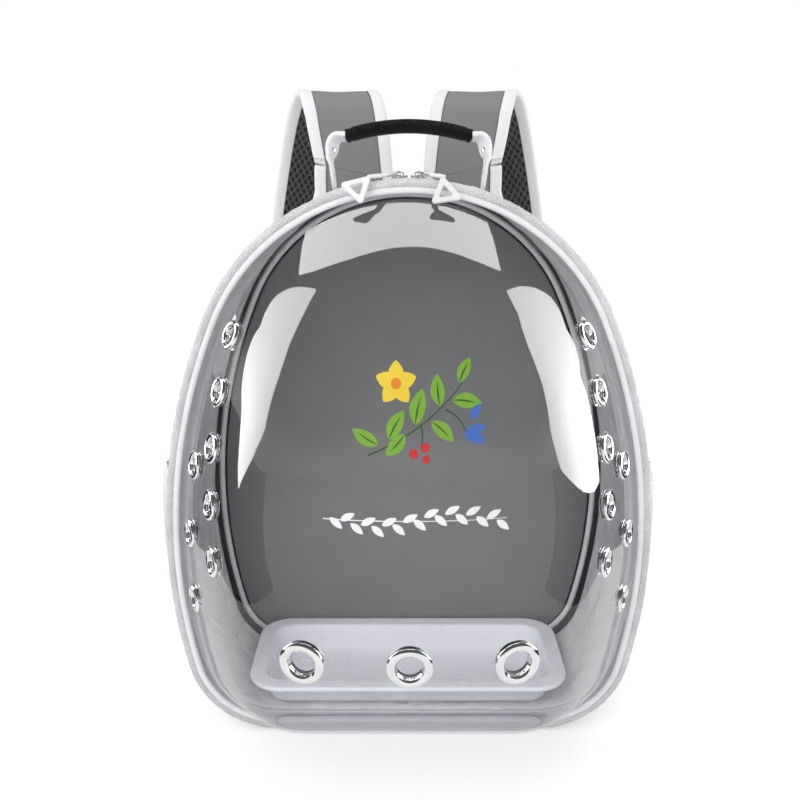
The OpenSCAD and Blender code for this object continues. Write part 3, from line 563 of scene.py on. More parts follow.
cushion_low, cushion_high, cushion_half = 65.5, 294.5, 100.6
cushion_tall = (cushion_high - cushion_low) / 2
loop = spaced(rounded(cushion_half - 5, cushion_tall - 5, 14), 6) + [0, cushion_low + cushion_tall]
cushion = skin("back_cushion", upright(plate(loop, 0.6, 7.0, 3, count=14), rear_d))
plumped(cushion, 0.006)
spots = spots_of(cushion.data)
face_y = (rim_y + rear_d) * mm
raised = np.clip((spots[:, 1] - face_y - 0.0012) / 0.006, 0, 1)
channels = sum(np.exp(-((spots[:, 2] - z * mm) / 0.0042) ** 2) for z in (130, 180, 230))
spots[:, 1] -= raised * 0.0052 * np.clip(channels, 0, 1)
spots[:, 1] = np.clip(spots[:, 1], face_y + 0.0002, face_y + 0.0126)
cushion.data.vertices.foreach_set("co", spots.ravel())
subdivision = cushion.modifiers.new("Smooth", "SUBSURF")
subdivision.levels = subdivision.render_levels = 1
place(cushion, air_mesh_flat, "shell", "black_mesh", "back_pad")


# Yoke, strap roots and lower patches
# An arched leather yoke is sewn across the upper back, and both straps stand up from it on roots
# with bound edges. Each strap's lower end is held by a leather patch with a webbing tab.

def both(grid):
    """The grid, and its mirror image across x = 0."""
    return grid, grid * [-1, 1, 1]


def unit(v):
    """Vectors brought to length 1."""
    return v / np.linalg.norm(v, axis=-1, keepdims=True)


def seam_at(grid, inset, count):
    """The UV height in mm of a seam that inset inside the edge of a plate's upper side."""
    rows = np.linalg.norm(np.diff(grid, axis=0), axis=-1).mean(1)
    return rows[:count + 5].sum() + inset


# The yoke has a straight lower edge at yoke_z, and an arc of radius yoke_r above it.
yoke_half, yoke_z, yoke_r = 80, 299.5, 128
x = np.linspace(yoke_half, -yoke_half, 41)
arch = np.stack([x, arch_z + np.sqrt(yoke_r ** 2 - x ** 2)], 1)
yoke_loop = eased(spaced(np.concatenate([[(-yoke_half, yoke_z), (yoke_half, yoke_z)], arch]), 5))
yoke = upright(plate(yoke_loop, 0.05, 2.05, 0.9, count=16), rear_d)
yoke_leather = finish("Yoke leather", white, 0.4, leather_grain, 0.0012, 0.00018, Coat_Weight=0.15,
                      Coat_Roughness=0.3, over=sewn(seam_at(yoke, 3.2, 16)))
place(skin("strap_yoke", yoke), yoke_leather, "shell", "white_leather", "strap_yoke")

grey_strap = finish("Grey strap cloth", (0.200, 0.200, 0.204), 0.6, weave, 0.0007, 0.0001, tone=0.14,
                    wear=0.06, Sheen_Weight=0.1, Sheen_Roughness=0.5)
strap_head = np.array([42.0, 65.5, 408.5])
strap_foot = np.array([118.115, 65.5, 58.0])
strap_axis = unit(strap_foot - strap_head)


def across(t):
    """The direction across a strap that runs along t: x without its part along t."""
    return unit(np.array([1.0, 0, 0]) - t[..., :1] * t)


def capped(grid):
    """A tube's rows with each end closed to its middle."""
    ends = [np.broadcast_to(grid[k].mean(0), grid[k].shape) for k in (0, -1)]
    return np.concatenate([[ends[0]], grid, [ends[1]]])


def carried(path, direction, section):
    """A section of [across, out] points, one for the path or one a point, carried along the path to
    a tube with closed ends."""
    w = across(direction)
    o = np.cross(w, direction)
    return capped(path[:, None] + section[..., :1] * w[:, None] + section[..., 1:] * o[:, None])


def powered(value, power):
    """A sine or cosine to a power, with its sign kept, which squares a circle's corners."""
    return np.sign(value) * np.abs(value) ** power


def puffed(half, low, high, count=14, square=5.0):
    """A strap's flat oval section from low to high: a superellipse of that squareness."""
    a = circle(2 * count)
    return np.stack([half * powered(np.cos(a), 2 / square),
                     (low + high) / 2 + (high - low) / 2 * powered(np.sin(a), 2 / square)], 1)


patches = upright(plate(rounded(14, 14, 4) + strap_foot[[0, 2]] - [0, 12], 0.05, 2.05, 0.8, count=12), rear_d)
stitched_patch = finish("Patch leather", white, 0.42, leather_grain, 0.0011, 0.00016,
                        over=sewn(seam_at(patches, 2.4, 12), pitch=3.0))
place(skin("lower_patches", *both(patches)), stitched_patch, "shell", "white_leather", "strap_anchors")


@pattern("Ribbed webbing")
def ribbed(tree, at):
    """|sin(pi v / 2)| for the ribs, and sin(pi (u + zigzag of v)) for the chevrons."""
    u, v, _ = add(tree, "SeparateXYZ", {0: at}).outputs
    zig = maths(tree, "ADD", u, maths(tree, "PINGPONG", v, 2.0))
    chevron = maths(tree, "SINE", maths(tree, "MULTIPLY", zig, math.pi))
    cords = maths(tree, "ABSOLUTE", maths(tree, "SINE", maths(tree, "MULTIPLY", v, math.pi / 2)))
    fluff = noise(tree, at, 1.5, 3.0)
    high = maths(tree, "MULTIPLY_ADD", chevron, 0.22, maths(tree, "MULTIPLY_ADD", cords, 0.45, fluff))
    return maths(tree, "MULTIPLY", high, 0.6), maths(tree, "MULTIPLY_ADD", chevron, -0.25, fluff)


soft = {"Sheen_Weight": 0.15, "Sheen_Roughness": 0.5}
webbing = finish("White webbing", white, 0.62, ribbed, 0.0011, 0.00028, tone=0.2, **soft)
drop = np.linspace(0.6, 22, 8)
tab_run = strap_foot + strap_axis * drop[:, None]
tab = carried(tab_run, np.tile(strap_axis, (8, 1)), puffed(12.4, -4.3, 2.2, square=7))
place(skin("lower_tabs", *both(tab)), webbing, "shell", "white_webbing", "strap_anchors")

bound = finish("Binding webbing", (0.79, 0.79, 0.81), 0.6, ribbed, 0.001, 0.0003, tone=0.2,
               over=sewn(6.0, 3.2, pitch=3.2, sink=1.2), **soft)


def edging(e, half):
    """The section of a binding folded over a strap's edge: e is its side, half the strap's half width
    without it, one number or one for each point of the path."""
    section = np.array([[-0.4, 6.0], [5.5, 5.95], [8.4, 4.6], [8.9, 2], [8.4, -0.6], [5.5, -1.95],
                        [-0.4, -2.0], [-0.4, -0.9], [4.5, 0.2], [5.0, 2], [4.5, 4.2], [-0.4, 5.1]])
    section = np.roll(eased(section), 3, 0)
    return np.stack([e * (section[:, 0] + half), section[:, 1] + 0 * half], -1)


def softened(value):
    """A value t held between 0 and 1, and eased at both ends: t * t * (3 - 2 * t)."""
    value = np.clip(value, 0, 1)
    return value * value * (3 - 2 * value)


drop = np.linspace(66, -2.5, 26)
# A root runs up 66 mm to the strap's head, and leans back in from 14 mm outside it.
lean = 14 * softened((drop - 14) / 52) + 0.1 * np.minimum(drop, 0)
root_line = strap_head + np.stack([lean, 0 * drop, -drop], 1)
root_along = unit(np.gradient(root_line, axis=0))
root = carried(root_line, root_along, puffed(22.2, -1.9, 5.9))
edges = [carried(root_line, root_along, edging(e, 22.25)) for e in (-1, 1)]
for side, name in ((1, "right"), (-1, "left")):
    flip = [side, 1, 1]
    for kind, parts, material, slot in (("strap_root_", [root], grey_strap, "grey_cloth"),
                                        ("root_binding_", edges, bound, "white_webbing")):
        made = skin(kind + name, *[part * flip for part in parts])
        place(made, material, None, slot, "strap_yoke")
        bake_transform(made)


# Side pockets
# Each pocket is one piece of white polyester, sewn down to the wall at the front, back and bottom.
# It bulges from the wall and is gathered at its mouth by a ribbed elastic band.
dull_white = (0.78, 0.78, 0.80)
pocket_cloth = finish("White pocket cloth", dull_white, 0.58, weave, 0.0008, 0.00014, tone=0.14,
                      wear=0.14, **soft)
elastic = finish("White ribbed elastic", dull_white, 0.6, ribbed, 0.0016, 0.0006, tone=0.25, wear=0.12)
pocket_y, pocket_d = 19.0, 84.0


def sheet(grid):
    """A grid for skin with open edges."""
    return grid, False, False


def pocket(y_share, climb):
    """The pocket at shares along its depth and up its height: it stands out by
    22 mm * sin(180 y) ** 0.55 * sin(115 climb) ** 0.6, with a few soft upright folds."""
    bulge = 22 * np.clip(np.sin(math.pi * y_share), 0, 1) ** 0.55
    bulge = bulge * np.sin(math.radians(115) * climb) ** 0.6
    folds = 0.7 * np.sin(math.pi * y_share) * climb * np.sin(y_share * 26 + 1.2 * np.sin(climb * 5))
    return outline(pocket_y + pocket_d * y_share, 1.3 + bulge + folds, 1.5 + climb)


for side, name in ((1, "right"), (-1, "left")):
    bag = pocket(np.linspace(0, 1, 49)[:, None], np.linspace(0, 1, 61)) * [side, 1, 1]
    cloth = skin("pocket_" + name, sheet(bag), wall=1.0)
    place(cloth, pocket_cloth, "shell", "white_cloth", "side_pocket_" + name)
    along = np.linspace(0, 1, 181)
    mouth = pocket(along, 1.0)
    mouth[:, 0] += 0.25 * np.sin(along * 6.28 * 42)
    hem = profile([0.1, 0.2], [0.1, 8.9], [-1.3, 8.9], [-1.3, 0.2])
    lean = np.clip(np.sin(math.pi * along) * 6, 0, 1) * -2 * hem[..., 1] / 9
    band = mouth + np.stack([hem[..., 0] + lean, 0 * lean, hem[..., 1] + 0 * lean], -1)
    band = np.swapaxes(band, 0, 1) * [side, 1, 1]
    place(skin("pocket_band_" + name, capped(band)), elastic, "shell", "elastic", "pocket_band_" + name)


# Zip tapes, coil and hinge strips
# The zip is a woven tape on each side with a nylon coil on its edge, from corner to corner over the
# top. Along the bottom two strips of cloth take its place, and the dome folds down about them.
zip_cloth = finish("Zip tape cloth", (0.66, 0.66, 0.68), 0.65, ribbed, 0.0007, 0.0002, tone=0.25)
coil_nylon = finish("Nylon coil", (0.60, 0.60, 0.62), 0.3, fine_grain, 0.002, 0.00003, tone=0.1)
hinge_cloth = finish("Hinge cloth", dull_white, 0.6, weave, 0.0008, 0.00014, **soft)
zip_w, coil_w, hinge_w = even(1.5, 6.5, 3.0), even(1.5, 6.5, 0.36), even(6.5, 9.5, 3.0)
tooth = np.cos(np.arange(len(coil_w)) * math.pi / 2)


def strip(depth, out, w):
    """A closed strip along the outline, its section given by depths and distances out."""
    return capped(np.swapaxes(outline(depth, out, w), 0, 1))


for way, body, side, wide in ((1, "shell", "rear", 8.9), (-1, "dome_door", "front", 4.9)):
    tape, hinge = "zip_tape_" + side, "hinge_strip_" + side
    flat = profile([0.3, -1.4], [wide, -1.4], [wide, -2.15], [0.3, -2.15], times=1)
    place(skin(tape, strip(way * flat[..., 0], flat[..., 1], zip_w)), zip_cloth, body, "zip_tape", tape)
    a = circle(8)[:, None]
    depth = way * (1.28 + (0.98 + 0.1 * tooth) * np.cos(a))
    teeth = strip(depth, -0.45 + (0.82 + 0.2 * tooth) * np.sin(a), coil_w)
    place(skin(tape + "_coil", teeth), coil_nylon, body, "zip_tape", tape)
    flat = profile([0.2, -0.1], [wide, -0.1], [wide, -2.1], [0.2, -2.1])
    hinged = strip(way * flat[..., 0], flat[..., 1], hinge_w)
    place(skin(hinge, hinged), hinge_cloth, body, "white_cloth", hinge)


# Clear dome
# A sheet of clear PET is vacuum-formed into a deep rounded dome, trimmed with a flange at the rim
# and punched for the vents. Its gloss is perfect but for faint haze and hairline scuffs.
dome_z, wall_out, dome_reach, flange_y = 170.0, -9.8, 142.0, 10.0
taper, shoulder = 0.42, 9


def drawn(s):
    """Share of the half width left at share s of the way to the front: the flanks draw in by taper,
    and a power curve, the shoulder, closes the front."""
    return 1 - taper * s - (1 - taper) * (1 - np.sqrt(np.clip(1 - s ** shoulder, 0, 1)))


def dome(s, w):
    """The outer face: the rim's outline drawn in about x = 0, z = dome_z, and carried forward by s."""
    rim = outline(0.0, wall_out, w)
    k = drawn(s)
    return np.stack([rim[..., 0] * k, rim_y - flange_y - (dome_reach - flange_y) * s + 0 * rim[..., 0],
                     dome_z + (rim[..., 2] - dome_z) * k], -1)


# The rows of the dome are even up to bent_from, and then follow the turn of the shoulder. Before them
# come four rows for the flat flange and its bend.
dome_w = even(0, 8, 4.2)[:-1]
bent_from = 0.8
turn = np.linspace(math.asin(bent_from ** (shoulder / 2)), math.pi / 2, 42)
s = np.concatenate([np.linspace(0, bent_from, 36, endpoint=False), np.sin(turn) ** (2 / shoulder)])
bend = np.array([[-8.9, -4.0], [-8.9, -8.2], [-9.1, -9.3], [-9.5, -9.7]])
bend = outline(bend[:, :1], bend[:, 1:], dome_w)


def dome_at(x, z):
    """Depth y of the dome at x, z, and its outward direction, from the share k of the rim's outline
    that passes there."""
    around = outline(0.0, wall_out, np.linspace(0, 8, 1600)[:-1])[:, [0, 2]] - [0, dome_z]
    angle = np.arctan2(around[:, 1], around[:, 0]) % (2 * math.pi)
    order = np.argsort(angle)
    size = np.hypot(*around[order].T)
    angle = angle[order]
    shares = np.sin(np.linspace(0, math.pi / 2, 4000)) ** (2 / shoulder)

    def depth_of(x, z):
        """Depth y at x, z."""
        at = np.arctan2(z - dome_z, x) % (2 * math.pi)
        k = np.hypot(x, z - dome_z) / np.interp(at, angle, size, period=2 * math.pi)
        s = np.interp(k, drawn(shares)[::-1], shares[::-1])
        return rim_y - flange_y - (dome_reach - flange_y) * s

    step = 0.3
    slope = [(depth_of(x + a, z + b) - depth_of(x - a, z - b)) / (2 * step)
             for a, b in ((step, 0), (0, step))]
    return depth_of(x, z), unit(np.stack([slope[0], -np.ones_like(slope[0]), slope[1]], -1))


def seated(side, up, out, at):
    """The 4 by 4 matrix that stands x, y and z along three directions at a place."""
    made = np.eye(4)
    made[:3, :3] = np.stack([side, up, out], 1)
    made[:3, 3] = at
    return made


def flank_vent(depth, z, side):
    """The matrix of a vent in a flank at a depth in front of the zip and a height: its x is where the
    rim's outline, drawn in, passes."""
    k = drawn((depth - flange_y) / (dome_reach - flange_y))
    rim = outline(0.0, wall_out, np.linspace(1, 4, 3000))
    return seat_at(side * k * np.interp(dome_z + (z - dome_z) / k, rim[:, 2], rim[:, 0]), z)


def seat_at(x, z):
    """The matrix that stands a vent on the dome: its z is the dome's outward direction there."""
    y, out = dome_at(np.array(float(x)), np.array(float(z)))
    side = unit(np.cross([0, 0, 1.0], out))
    return seated(side, np.cross(out, side), out, (x, y, z))


long_row = [(78 - 11.4 * i, 172.0 + 35 * i) for i in range(5)]
short_row = [(31.5, 122.0 + 50 * i) for i in range(3)]
vents = {"front": ([seat_at(x, 132.0) for x in (-65, 0, 65)], 29.0, 17.0),
         "right": ([flank_vent(*v, 1) for v in long_row + short_row], 20.6, 12.2),
         "left": ([flank_vent(*v, -1) for v in long_row + short_row], 20.6, 12.2)}

dome_sheet = skin("clear_dome", np.concatenate([bend, dome(s[:, None], dome_w)]))
shape = bmesh.new()
shape.from_mesh(dome_sheet.data)
middles = np.array([face.calc_center_median() for face in shape.faces]) / mm
for seats, outer_d, hole_d in vents.values():
    for seat in seats:
        local = (middles - seat[:3, 3]) @ seat[:3, :3]
        cut = (np.hypot(local[:, 0], local[:, 1]) < hole_d / 2 + 1.2) & (np.abs(local[:, 2]) < 8)
        shape.faces.ensure_lookup_table()
        bmesh.ops.delete(shape, geom=[shape.faces[i] for i in np.flatnonzero(cut)], context="FACES")
        middles = middles[~cut]
shape.to_mesh(dome_sheet.data)
shape.free()
solid = dome_sheet.modifiers.new("Wall", "SOLIDIFY")
solid.thickness, solid.offset = 0.0018, -1


def lit(name, build):
    """A material without a Principled shader, whose surface build(tree) gives."""
    made = bpy.data.materials.new(name)
    made.use_nodes = True
    tree = made.node_tree
    tree.nodes.remove(tree.nodes["Principled BSDF"])
    tree.links.new(build(tree), tree.nodes["Material Output"].inputs["Surface"])
    return made


def clear_surface(tree):
    """See-through with a mirror gloss on the outer side, darker where it is seen through at a slant,
    with smudges and hairline scuffs that scatter a little light."""
    at = tree.nodes.new("ShaderNodeTexCoord").outputs["Object"]
    marks = add(tree, "Group", {"Coordinates": at, "Size": 0.06}, node_tree=handling)
    drawn_out = add(tree, "Mapping", {"Vector": at, "Rotation": (0.4, 0.9, 0.2), "Scale": (900, 26, 900)})
    scuff = add(tree, "MapRange", {0: noise(tree, drawn_out.outputs[0], 1.0), 1: 0.72, 2: 0.8})
    smudge = maths(tree, "MULTIPLY", marks.outputs["Smudge"], 0.012)
    haze = maths(tree, "MULTIPLY_ADD", scuff.outputs[0], 0.02, smudge)
    slant = maths(tree, "POWER", add(tree, "LayerWeight", {"Blend": 0.5}).outputs["Facing"], 3.0)
    shades = {0: slant, 6: (0.982, 0.985, 0.988, 1), 7: (0.77, 0.78, 0.79, 1)}
    through = add(tree, "BsdfTransparent", {"Color": add(tree, "Mix", shades, data_type="RGBA").outputs[2]})
    bloom = add(tree, "BsdfDiffuse", {"Color": (0.8, 0.82, 0.84, 1)})
    bump = add(tree, "Bump", {"Height": noise(tree, at, 9.0, 1.0), "Strength": 1.0, "Distance": 0.0006})
    gloss = add(tree, "BsdfGlossy", {"Color": (1, 1, 1, 1), "Roughness": 0.015, "Normal": bump.outputs[0]})
    outside = maths(tree, "SUBTRACT", 1.0, add(tree, "NewGeometry").outputs["Backfacing"])
    hazy = maths(tree, "MULTIPLY", haze, outside)
    mirrored = maths(tree, "MULTIPLY", add(tree, "Fresnel", {"IOR": 1.42}).outputs[0], outside)
    body = add(tree, "MixShader", {0: hazy, 1: through.outputs[0], 2: bloom.outputs[0]})
    return add(tree, "MixShader", {0: mirrored, 1: body.outputs[0], 2: gloss.outputs[0]}).outputs[0]


place(dome_sheet, lit("Clear moulded sheet", clear_surface), "dome_door", "clear_sheet", "dome_shell")


# Print on the dome
# A generic leaf sprig is screen-printed on the dome's outer face in flat, opaque inks: green leaves
# with dark ribs, a yellow blossom, blue buds and red berries, over a garland of small white leaves.
def printed(x, z, lift):
    """Points of the print on the dome's outer face, raised by lift mm."""
    y, out = dome_at(x, z)
    return np.stack([x, y, z], -1) + out * lift


def leaf(x, z, angle, length, width, lift=0.14, bend=0.15):
    """A leaf from x, z: half width is width / 2 * sin(180 t) ** 0.75 * (1.15 - 0.3 t) along its bowed
    middle line."""
    t, u = np.linspace(0, 1, 17)[:, None], np.linspace(-1, 1, 7)
    half = width / 2 * np.sin(math.pi * t) ** 0.75 * (1.15 - 0.3 * t)
    a, b = length * t + 0 * u, u * half + bend * length * t * (1 - t)
    c, s = math.cos(math.radians(angle)), math.sin(math.radians(angle))
    return sheet(printed(x + a * c - b * s, z + a * s + b * c, lift))


def dot(x, z, radius, lift=0.16):
    """A round dot."""
    r, a = np.linspace(0, radius, 4)[:, None], circle(24)
    return printed(x + r * np.cos(a), z + r * np.sin(a), lift)


def stem(x0, z0, x1, z1, sag, width=1.1):
    """A thin line from one point to another, bowed by sag."""
    t, u = np.linspace(0, 1, 25)[:, None], np.linspace(-0.5, 0.5, 3)
    aside = np.array([z0 - z1, x1 - x0]) / math.hypot(x1 - x0, z1 - z0)
    bow = 4 * sag * t * (1 - t) + u * width * (1 - 0.5 * t)
    x, z = x0 + (x1 - x0) * t + bow * aside[0], z0 + (z1 - z0) * t + bow * aside[1]
    return sheet(printed(x, z, 0.10))


sprig = [(-18, 270, 150, 17, 8), (-12, 273, 62, 18, 8.5), (-3, 276, 228, 16, 8), (3, 281, 78, 20, 9),
         (12, 283, 318, 17, 8), (17, 291, 96, 17, 8), (24, 294, 352, 17, 8), (28, 303, 62, 14, 7)]
ribs = [leaf(x, z, angle, 0.8 * length, 0.9, 0.17) for x, z, angle, length, width in sprig]
ribs += [stem(-24, 264, 30, 303, -4), stem(6, 281, 6, 268, 1), stem(20, 289, 32, 276, 2)]
garland = [leaf(x, 227 + 3.5 * math.sin(x / 14), 28 if i % 2 else -42, 9.5, 4.2, bend=0.05)
           for i, x in enumerate(np.linspace(-46, 50, 17))]
petals = [leaf(-8, 303, angle, 12, 8.5, bend=0) for angle in range(18, 378, 72)]
buds = [leaf(*v) for v in ((31, 275, 20, 13, 6), (31, 275, -20, 13, 6), (35, 283, 60, 10, 5))]
berries = [dot(*v) for v in ((2, 265, 2.7), (8.5, 268.5, 2.7), (9, 262, 2.3))]
for name, colour, parts in (("leaves", (0.165, 0.36, 0.03), [leaf(*v) for v in sprig]),
                            ("ribs", (0.03, 0.09, 0.012), ribs),
                            ("blossom", (0.72, 0.52, 0.03), petals),
                            ("heart", (0.70, 0.20, 0.02), [dot(-8, 303, 3.0, 0.2)]),
                            ("buds", (0.05, 0.13, 0.46), buds),
                            ("berries", (0.50, 0.02, 0.02), berries),
                            ("garland", dull_white, garland + [stem(-50, 226.5, 56, 226.5, 0, 0.7)])):
    ink = finish("Printing ink, " + name, colour, 0.4, fine_grain, 0.0004, 0.00001, tone=0.08, wear=0.05,
                 space="Object")
    place(skin("print_" + name, *parts), ink, "dome_door", "clear_sheet")


# Welt round the dome
# A tube of coarse-grained leather is folded over the dome's flange and sewn to the zip tape, with a
# smooth corded bead along its inner edge. It puckers a little where it goes round the corners.
welt_leather = finish("Welt leather", dull_white, 0.5, leather_grain, 0.0015, 0.00045, tone=0.5)
bead_leather = finish("Bead leather", (0.84, 0.84, 0.86), 0.34, leather_grain, 0.0009, 0.00006,
                      Coat_Weight=0.3, Coat_Roughness=0.2)
round_w = even(0, 8, 2.5)[:-1]
fold = profile([-5.1, -8.5], [-10.2, -8.5], [-10.6, -4.6], [-12.2, -3.8], [-12.7, -1.4], [-11.2, 0.9],
               [-8.6, 1.4], [-6.2, 0.5], [-5.1, -2.2], times=3)
curl = 0.14 * np.sin(round_w * 150) + 0.12 * ripple(fold[..., 0] / 9, round_w * 40, 12)
welt = outline(fold[..., 0], fold[..., 1] + curl * (fold[..., 1] > -1), round_w)
place(skin("dome_welt", ring(welt)), welt_leather, "dome_door", "white_leather", "dome_welt")
bead = cord_round(round_w, -10.8, -6.3, -2.3 - 0.05 * np.sin(round_w * 190))
place(skin("welt_bead", bead), bead_leather, "dome_door", "white_leather", "dome_welt")


# Eyelets and washers
# Pressed steel eyelets, chrome plated: a rolled crown outside, a barrel through the sheet and a
# flat washer that the barrel is curled over inside. A faint plating texture breaks their mirror.

@pattern("Plating marks")
def chrome_relief(tree, at):
    """Fine noise for the relief, and a broad cloud as the shade."""
    return noise(tree, at, 1.0, 6.0, 0.7), noise(tree, at, 0.08)


chrome = finish("Chrome plating", (0.80, 0.80, 0.81), 0.07, chrome_relief, 0.0012, 0.000012, tone=0.1,
                wear=0.04, space="Object", Metallic=1.0)


def put(grid, matrix):
    """A grid of points carried through a matrix."""
    return grid @ matrix[:3, :3].T + matrix[:3, 3]


def lathed(line, matrix, count=56):
    """A line of [radius, height] turned about z, then carried through the matrix."""
    a = circle(count)
    r, h = line[:, :1], line[:, 1:]
    return put(np.stack([r * np.cos(a), r * np.sin(a), h + 0 * a], -1), matrix)


sheet_in, gap = -3.95, 0.15
# The crown's height across its width u, from -1 to 1, is 0.15 + 0.17 d ** 0.8 (1 - u ** 2) ** 0.45
# for the outer diameter d. The barrel stands gap mm inside the hole, down to the sheet's inner side.
for side, (seats, outer_d, hole_d) in vents.items():
    rim, barrel = outer_d / 2, hole_d / 2 - gap
    bore = barrel - 0.3
    u = -np.cos(np.linspace(0, math.pi, 33))[:, None]
    crown = np.hstack([(barrel + rim) / 2 + u * (rim - barrel) / 2,
                       0.15 + 0.17 * outer_d ** 0.8 * (1 - u ** 2) ** 0.45])
    eyelet = np.concatenate([[[bore, sheet_in], [bore, -1], [bore + 0.05, -0.2]], crown,
                             [[rim - 0.05, 0.08], [rim - 0.5, 0.05], [barrel, 0.05], [barrel, sheet_in]]])
    washer = eased(np.array([[hole_d / 2, sheet_in], [hole_d / 2, -3.05], [rim - 0.9, -3.05],
                             [rim - 0.9, -3.6], [rim - 1.5, sheet_in]]))
    for kind, line in (("eyelets", eyelet), ("washers", washer)):
        name = "front_" + kind if side == "front" else "side_" + kind + "_" + side
        made = skin(name, *[ring(lathed(line, seat)) for seat in seats])
        place(made, chrome, "dome_door", "chrome", name)


# Zip sliders and pulls
# Two die-cast sliders meet at the top. A wire ring hangs from each bail, and holds a moulded pull
# of soft white rubber: a ribbed neck, and a rounded triangle with a triangular hole.
rubber = finish("White soft rubber", white, 0.48, fine_grain, 0.0007, 0.00005, wear=0.12, space="Object",
                Subsurface_Weight=0.1, Subsurface_Radius=(0.002, 0.002, 0.002))
pull_half = 11.0
pull_low = 2 - pull_half * math.sqrt(3)
corners = np.array([[0, -4], [3.5 - pull_half, pull_low], [pull_half - 3.5, pull_low]])


def turned(axis, degrees):
    """The 4 by 4 matrix of a turn about x, y or z."""
    c, s = math.cos(math.radians(degrees)), math.sin(math.radians(degrees))
    i, j = {"x": (1, 2), "y": (2, 0), "z": (0, 1)}[axis]
    made = np.eye(4)
    made[i, i] = made[j, j] = c
    made[i, j], made[j, i] = -s, s
    return made


def moved_by(*offset):
    """The 4 by 4 matrix of a move."""
    made = np.eye(4)
    made[:3, 3] = offset
    return made


def tube(path, radius, count=10, closed=False):
    """A round wire of that radius along a path of points: circles square to the path, with their
    first direction kept closest to the one across the path's mean plane."""
    along = unit((np.roll(path, -1, 0) - np.roll(path, 1, 0)) if closed else np.gradient(path, axis=0))
    side = unit(np.cross(along, np.linalg.svd(path - path.mean(0))[2][2]))
    up = np.cross(side, along)
    a = circle(count)[:, None]
    radius = np.broadcast_to(radius, (len(path),))[:, None, None]
    return path[:, None] + radius * (np.cos(a) * side[:, None] + np.sin(a) * up[:, None])


def three_sided(reach, radius):
    """The pull's triangle with that corner reach about its centre, its corners rounded to the radius."""
    out = corners - corners.mean(0)
    angle = np.arctan2(out[:, 1], out[:, 0])[:, None] + np.linspace(-math.pi / 3, math.pi / 3, 12)
    arc = radius * np.stack([np.cos(angle), np.sin(angle)], -1)
    return ((corners.mean(0) + out * reach)[:, None] + arc).reshape(-1, 2)


slider_angle = math.degrees(6.5 / arch_r)
ring_reach, bail_z, ring_turn, pull_reach = 8.8, 3.4, 58.0, 15.0
# The slider's plate is a superellipse, and its bail a half circle of wire. The pull's neck runs down
# from the ring with three ribs, 1 + 0.38 exp(-(distance / 0.62) ** 4) times as thick. The triangle's
# bar has a squared oval section between an inner and an outer rounded triangle.
for side, name, heading, swing in ((-1, "left", 46, 48), (1, "right", 34, 12)):
    on_arch = moved_by(0, rim_y, arch_z) @ turned("y", side * slider_angle) @ moved_by(0, 0, arch_r)
    a = circle(48)
    loop = np.stack([6 * powered(np.cos(a), 0.62), 4.5 * powered(np.sin(a), 0.5)], 1)
    top = plate(loop, 1.0, 2.45, 0.6, crown=0.25, count=6)
    lip = plate(rounded(3.1, 1.25, 0.5, 4), -0.5, 0.5, 0.2, count=4)[..., [0, 2, 1]]
    bow = np.linspace(math.radians(-6), math.radians(186), 25)
    bail = tube(np.stack([3.3 * np.cos(bow), 0 * bow, 2.4 + 2.5 * np.sin(bow)], 1), 0.62)
    parts = [put(part, on_arch) for part in (top, lip + [0, -4, 0.15], lip + [0, 4, 0.15], capped(bail))]
    place(skin("slider_" + name, *parts), chrome, "slider_" + name, "chrome", "slider_" + name)
    at_bail = on_arch @ moved_by(0, 0, bail_z) @ turned("z", side * ring_turn)
    a = circle(40)
    wire = np.stack([ring_reach / 2 * np.sin(a), ring_reach / 2 * (np.cos(a) - 1), 0 * a], 1)
    hoop = skin("pull_ring_" + name, ring(put(tube(wire, 0.6, closed=True), at_bail)))
    place(hoop, chrome, "pull_" + name, "chrome", "pull_ring_" + name)
    neck = (pull_reach - ring_reach * math.cos(math.radians(ring_turn))) / math.cos(math.radians(heading))
    to_neck = at_bail @ moved_by(0, -ring_reach, 0) @ turned("z", side * (heading - ring_turn))
    run = np.linspace(2, -neck - 1.5, 46)[:, None]
    from_rib = np.abs(run + neck * np.arange(1, 4) / 4).min(1)
    ribs = 1 + 0.38 * np.exp(-(from_rib / 0.62) ** 4)[:, None]
    a = a[::2]
    ribbed_neck = np.stack([2 * ribs * np.cos(a), run + 0 * a, 1.3 * (0.6 + 0.4 * ribs) * np.sin(a)], -1)
    to_triangle = (to_neck @ moved_by(0, -neck, 0) @ turned("z", -side * heading) @ turned("x", 60)
                   @ turned("z", side * swing) @ moved_by(0, 1, 0))
    a = circle(20)[:, None, None]
    mix = 0.5 + 0.5 * powered(np.cos(a), 0.55)
    flat = three_sided(0.42, 0.9) * (1 - mix) + three_sided(1.0, 2.0) * mix
    bar = np.concatenate([flat, 1.3 * powered(np.sin(a), 0.55) + 0 * flat[..., :1]], 2)
    tab = skin("pull_tab_" + name, capped(put(ribbed_neck, to_neck)), ring(put(bar, to_triangle)))
    place(tab, rubber, "pull_" + name, "white_rubber", "pull_tab_" + name)


# Handle
# White webbing legs stand up from leather patches sewn to the top, and fold in to a stiff arched
# grip of black rubber with a pebbled skin. Each fold is pinned by a steel rivet.
pebbled = finish("Pebbled black rubber", (0.005, 0.005, 0.0053), 0.5, leather_grain, 0.0021, 0.0005,
                 tone=0.3, wear=0.1, space="Object", Specular_IOR_Level=0.2)
handle_depth, handle_half, handle_rise = 40, 52, 52
handle_y = rim_y + handle_depth
handle_z = arch_z - draw_in * handle_depth / rear_d + math.sqrt(arch_r ** 2 - handle_half ** 2)
grip_half, grip_rise = 44.0, 7.0
grip_r = (grip_half ** 2 + grip_rise ** 2) / (2 * grip_rise)
half_angle = math.asin(grip_half / grip_r)
grip_top = handle_z + handle_rise - 5.25

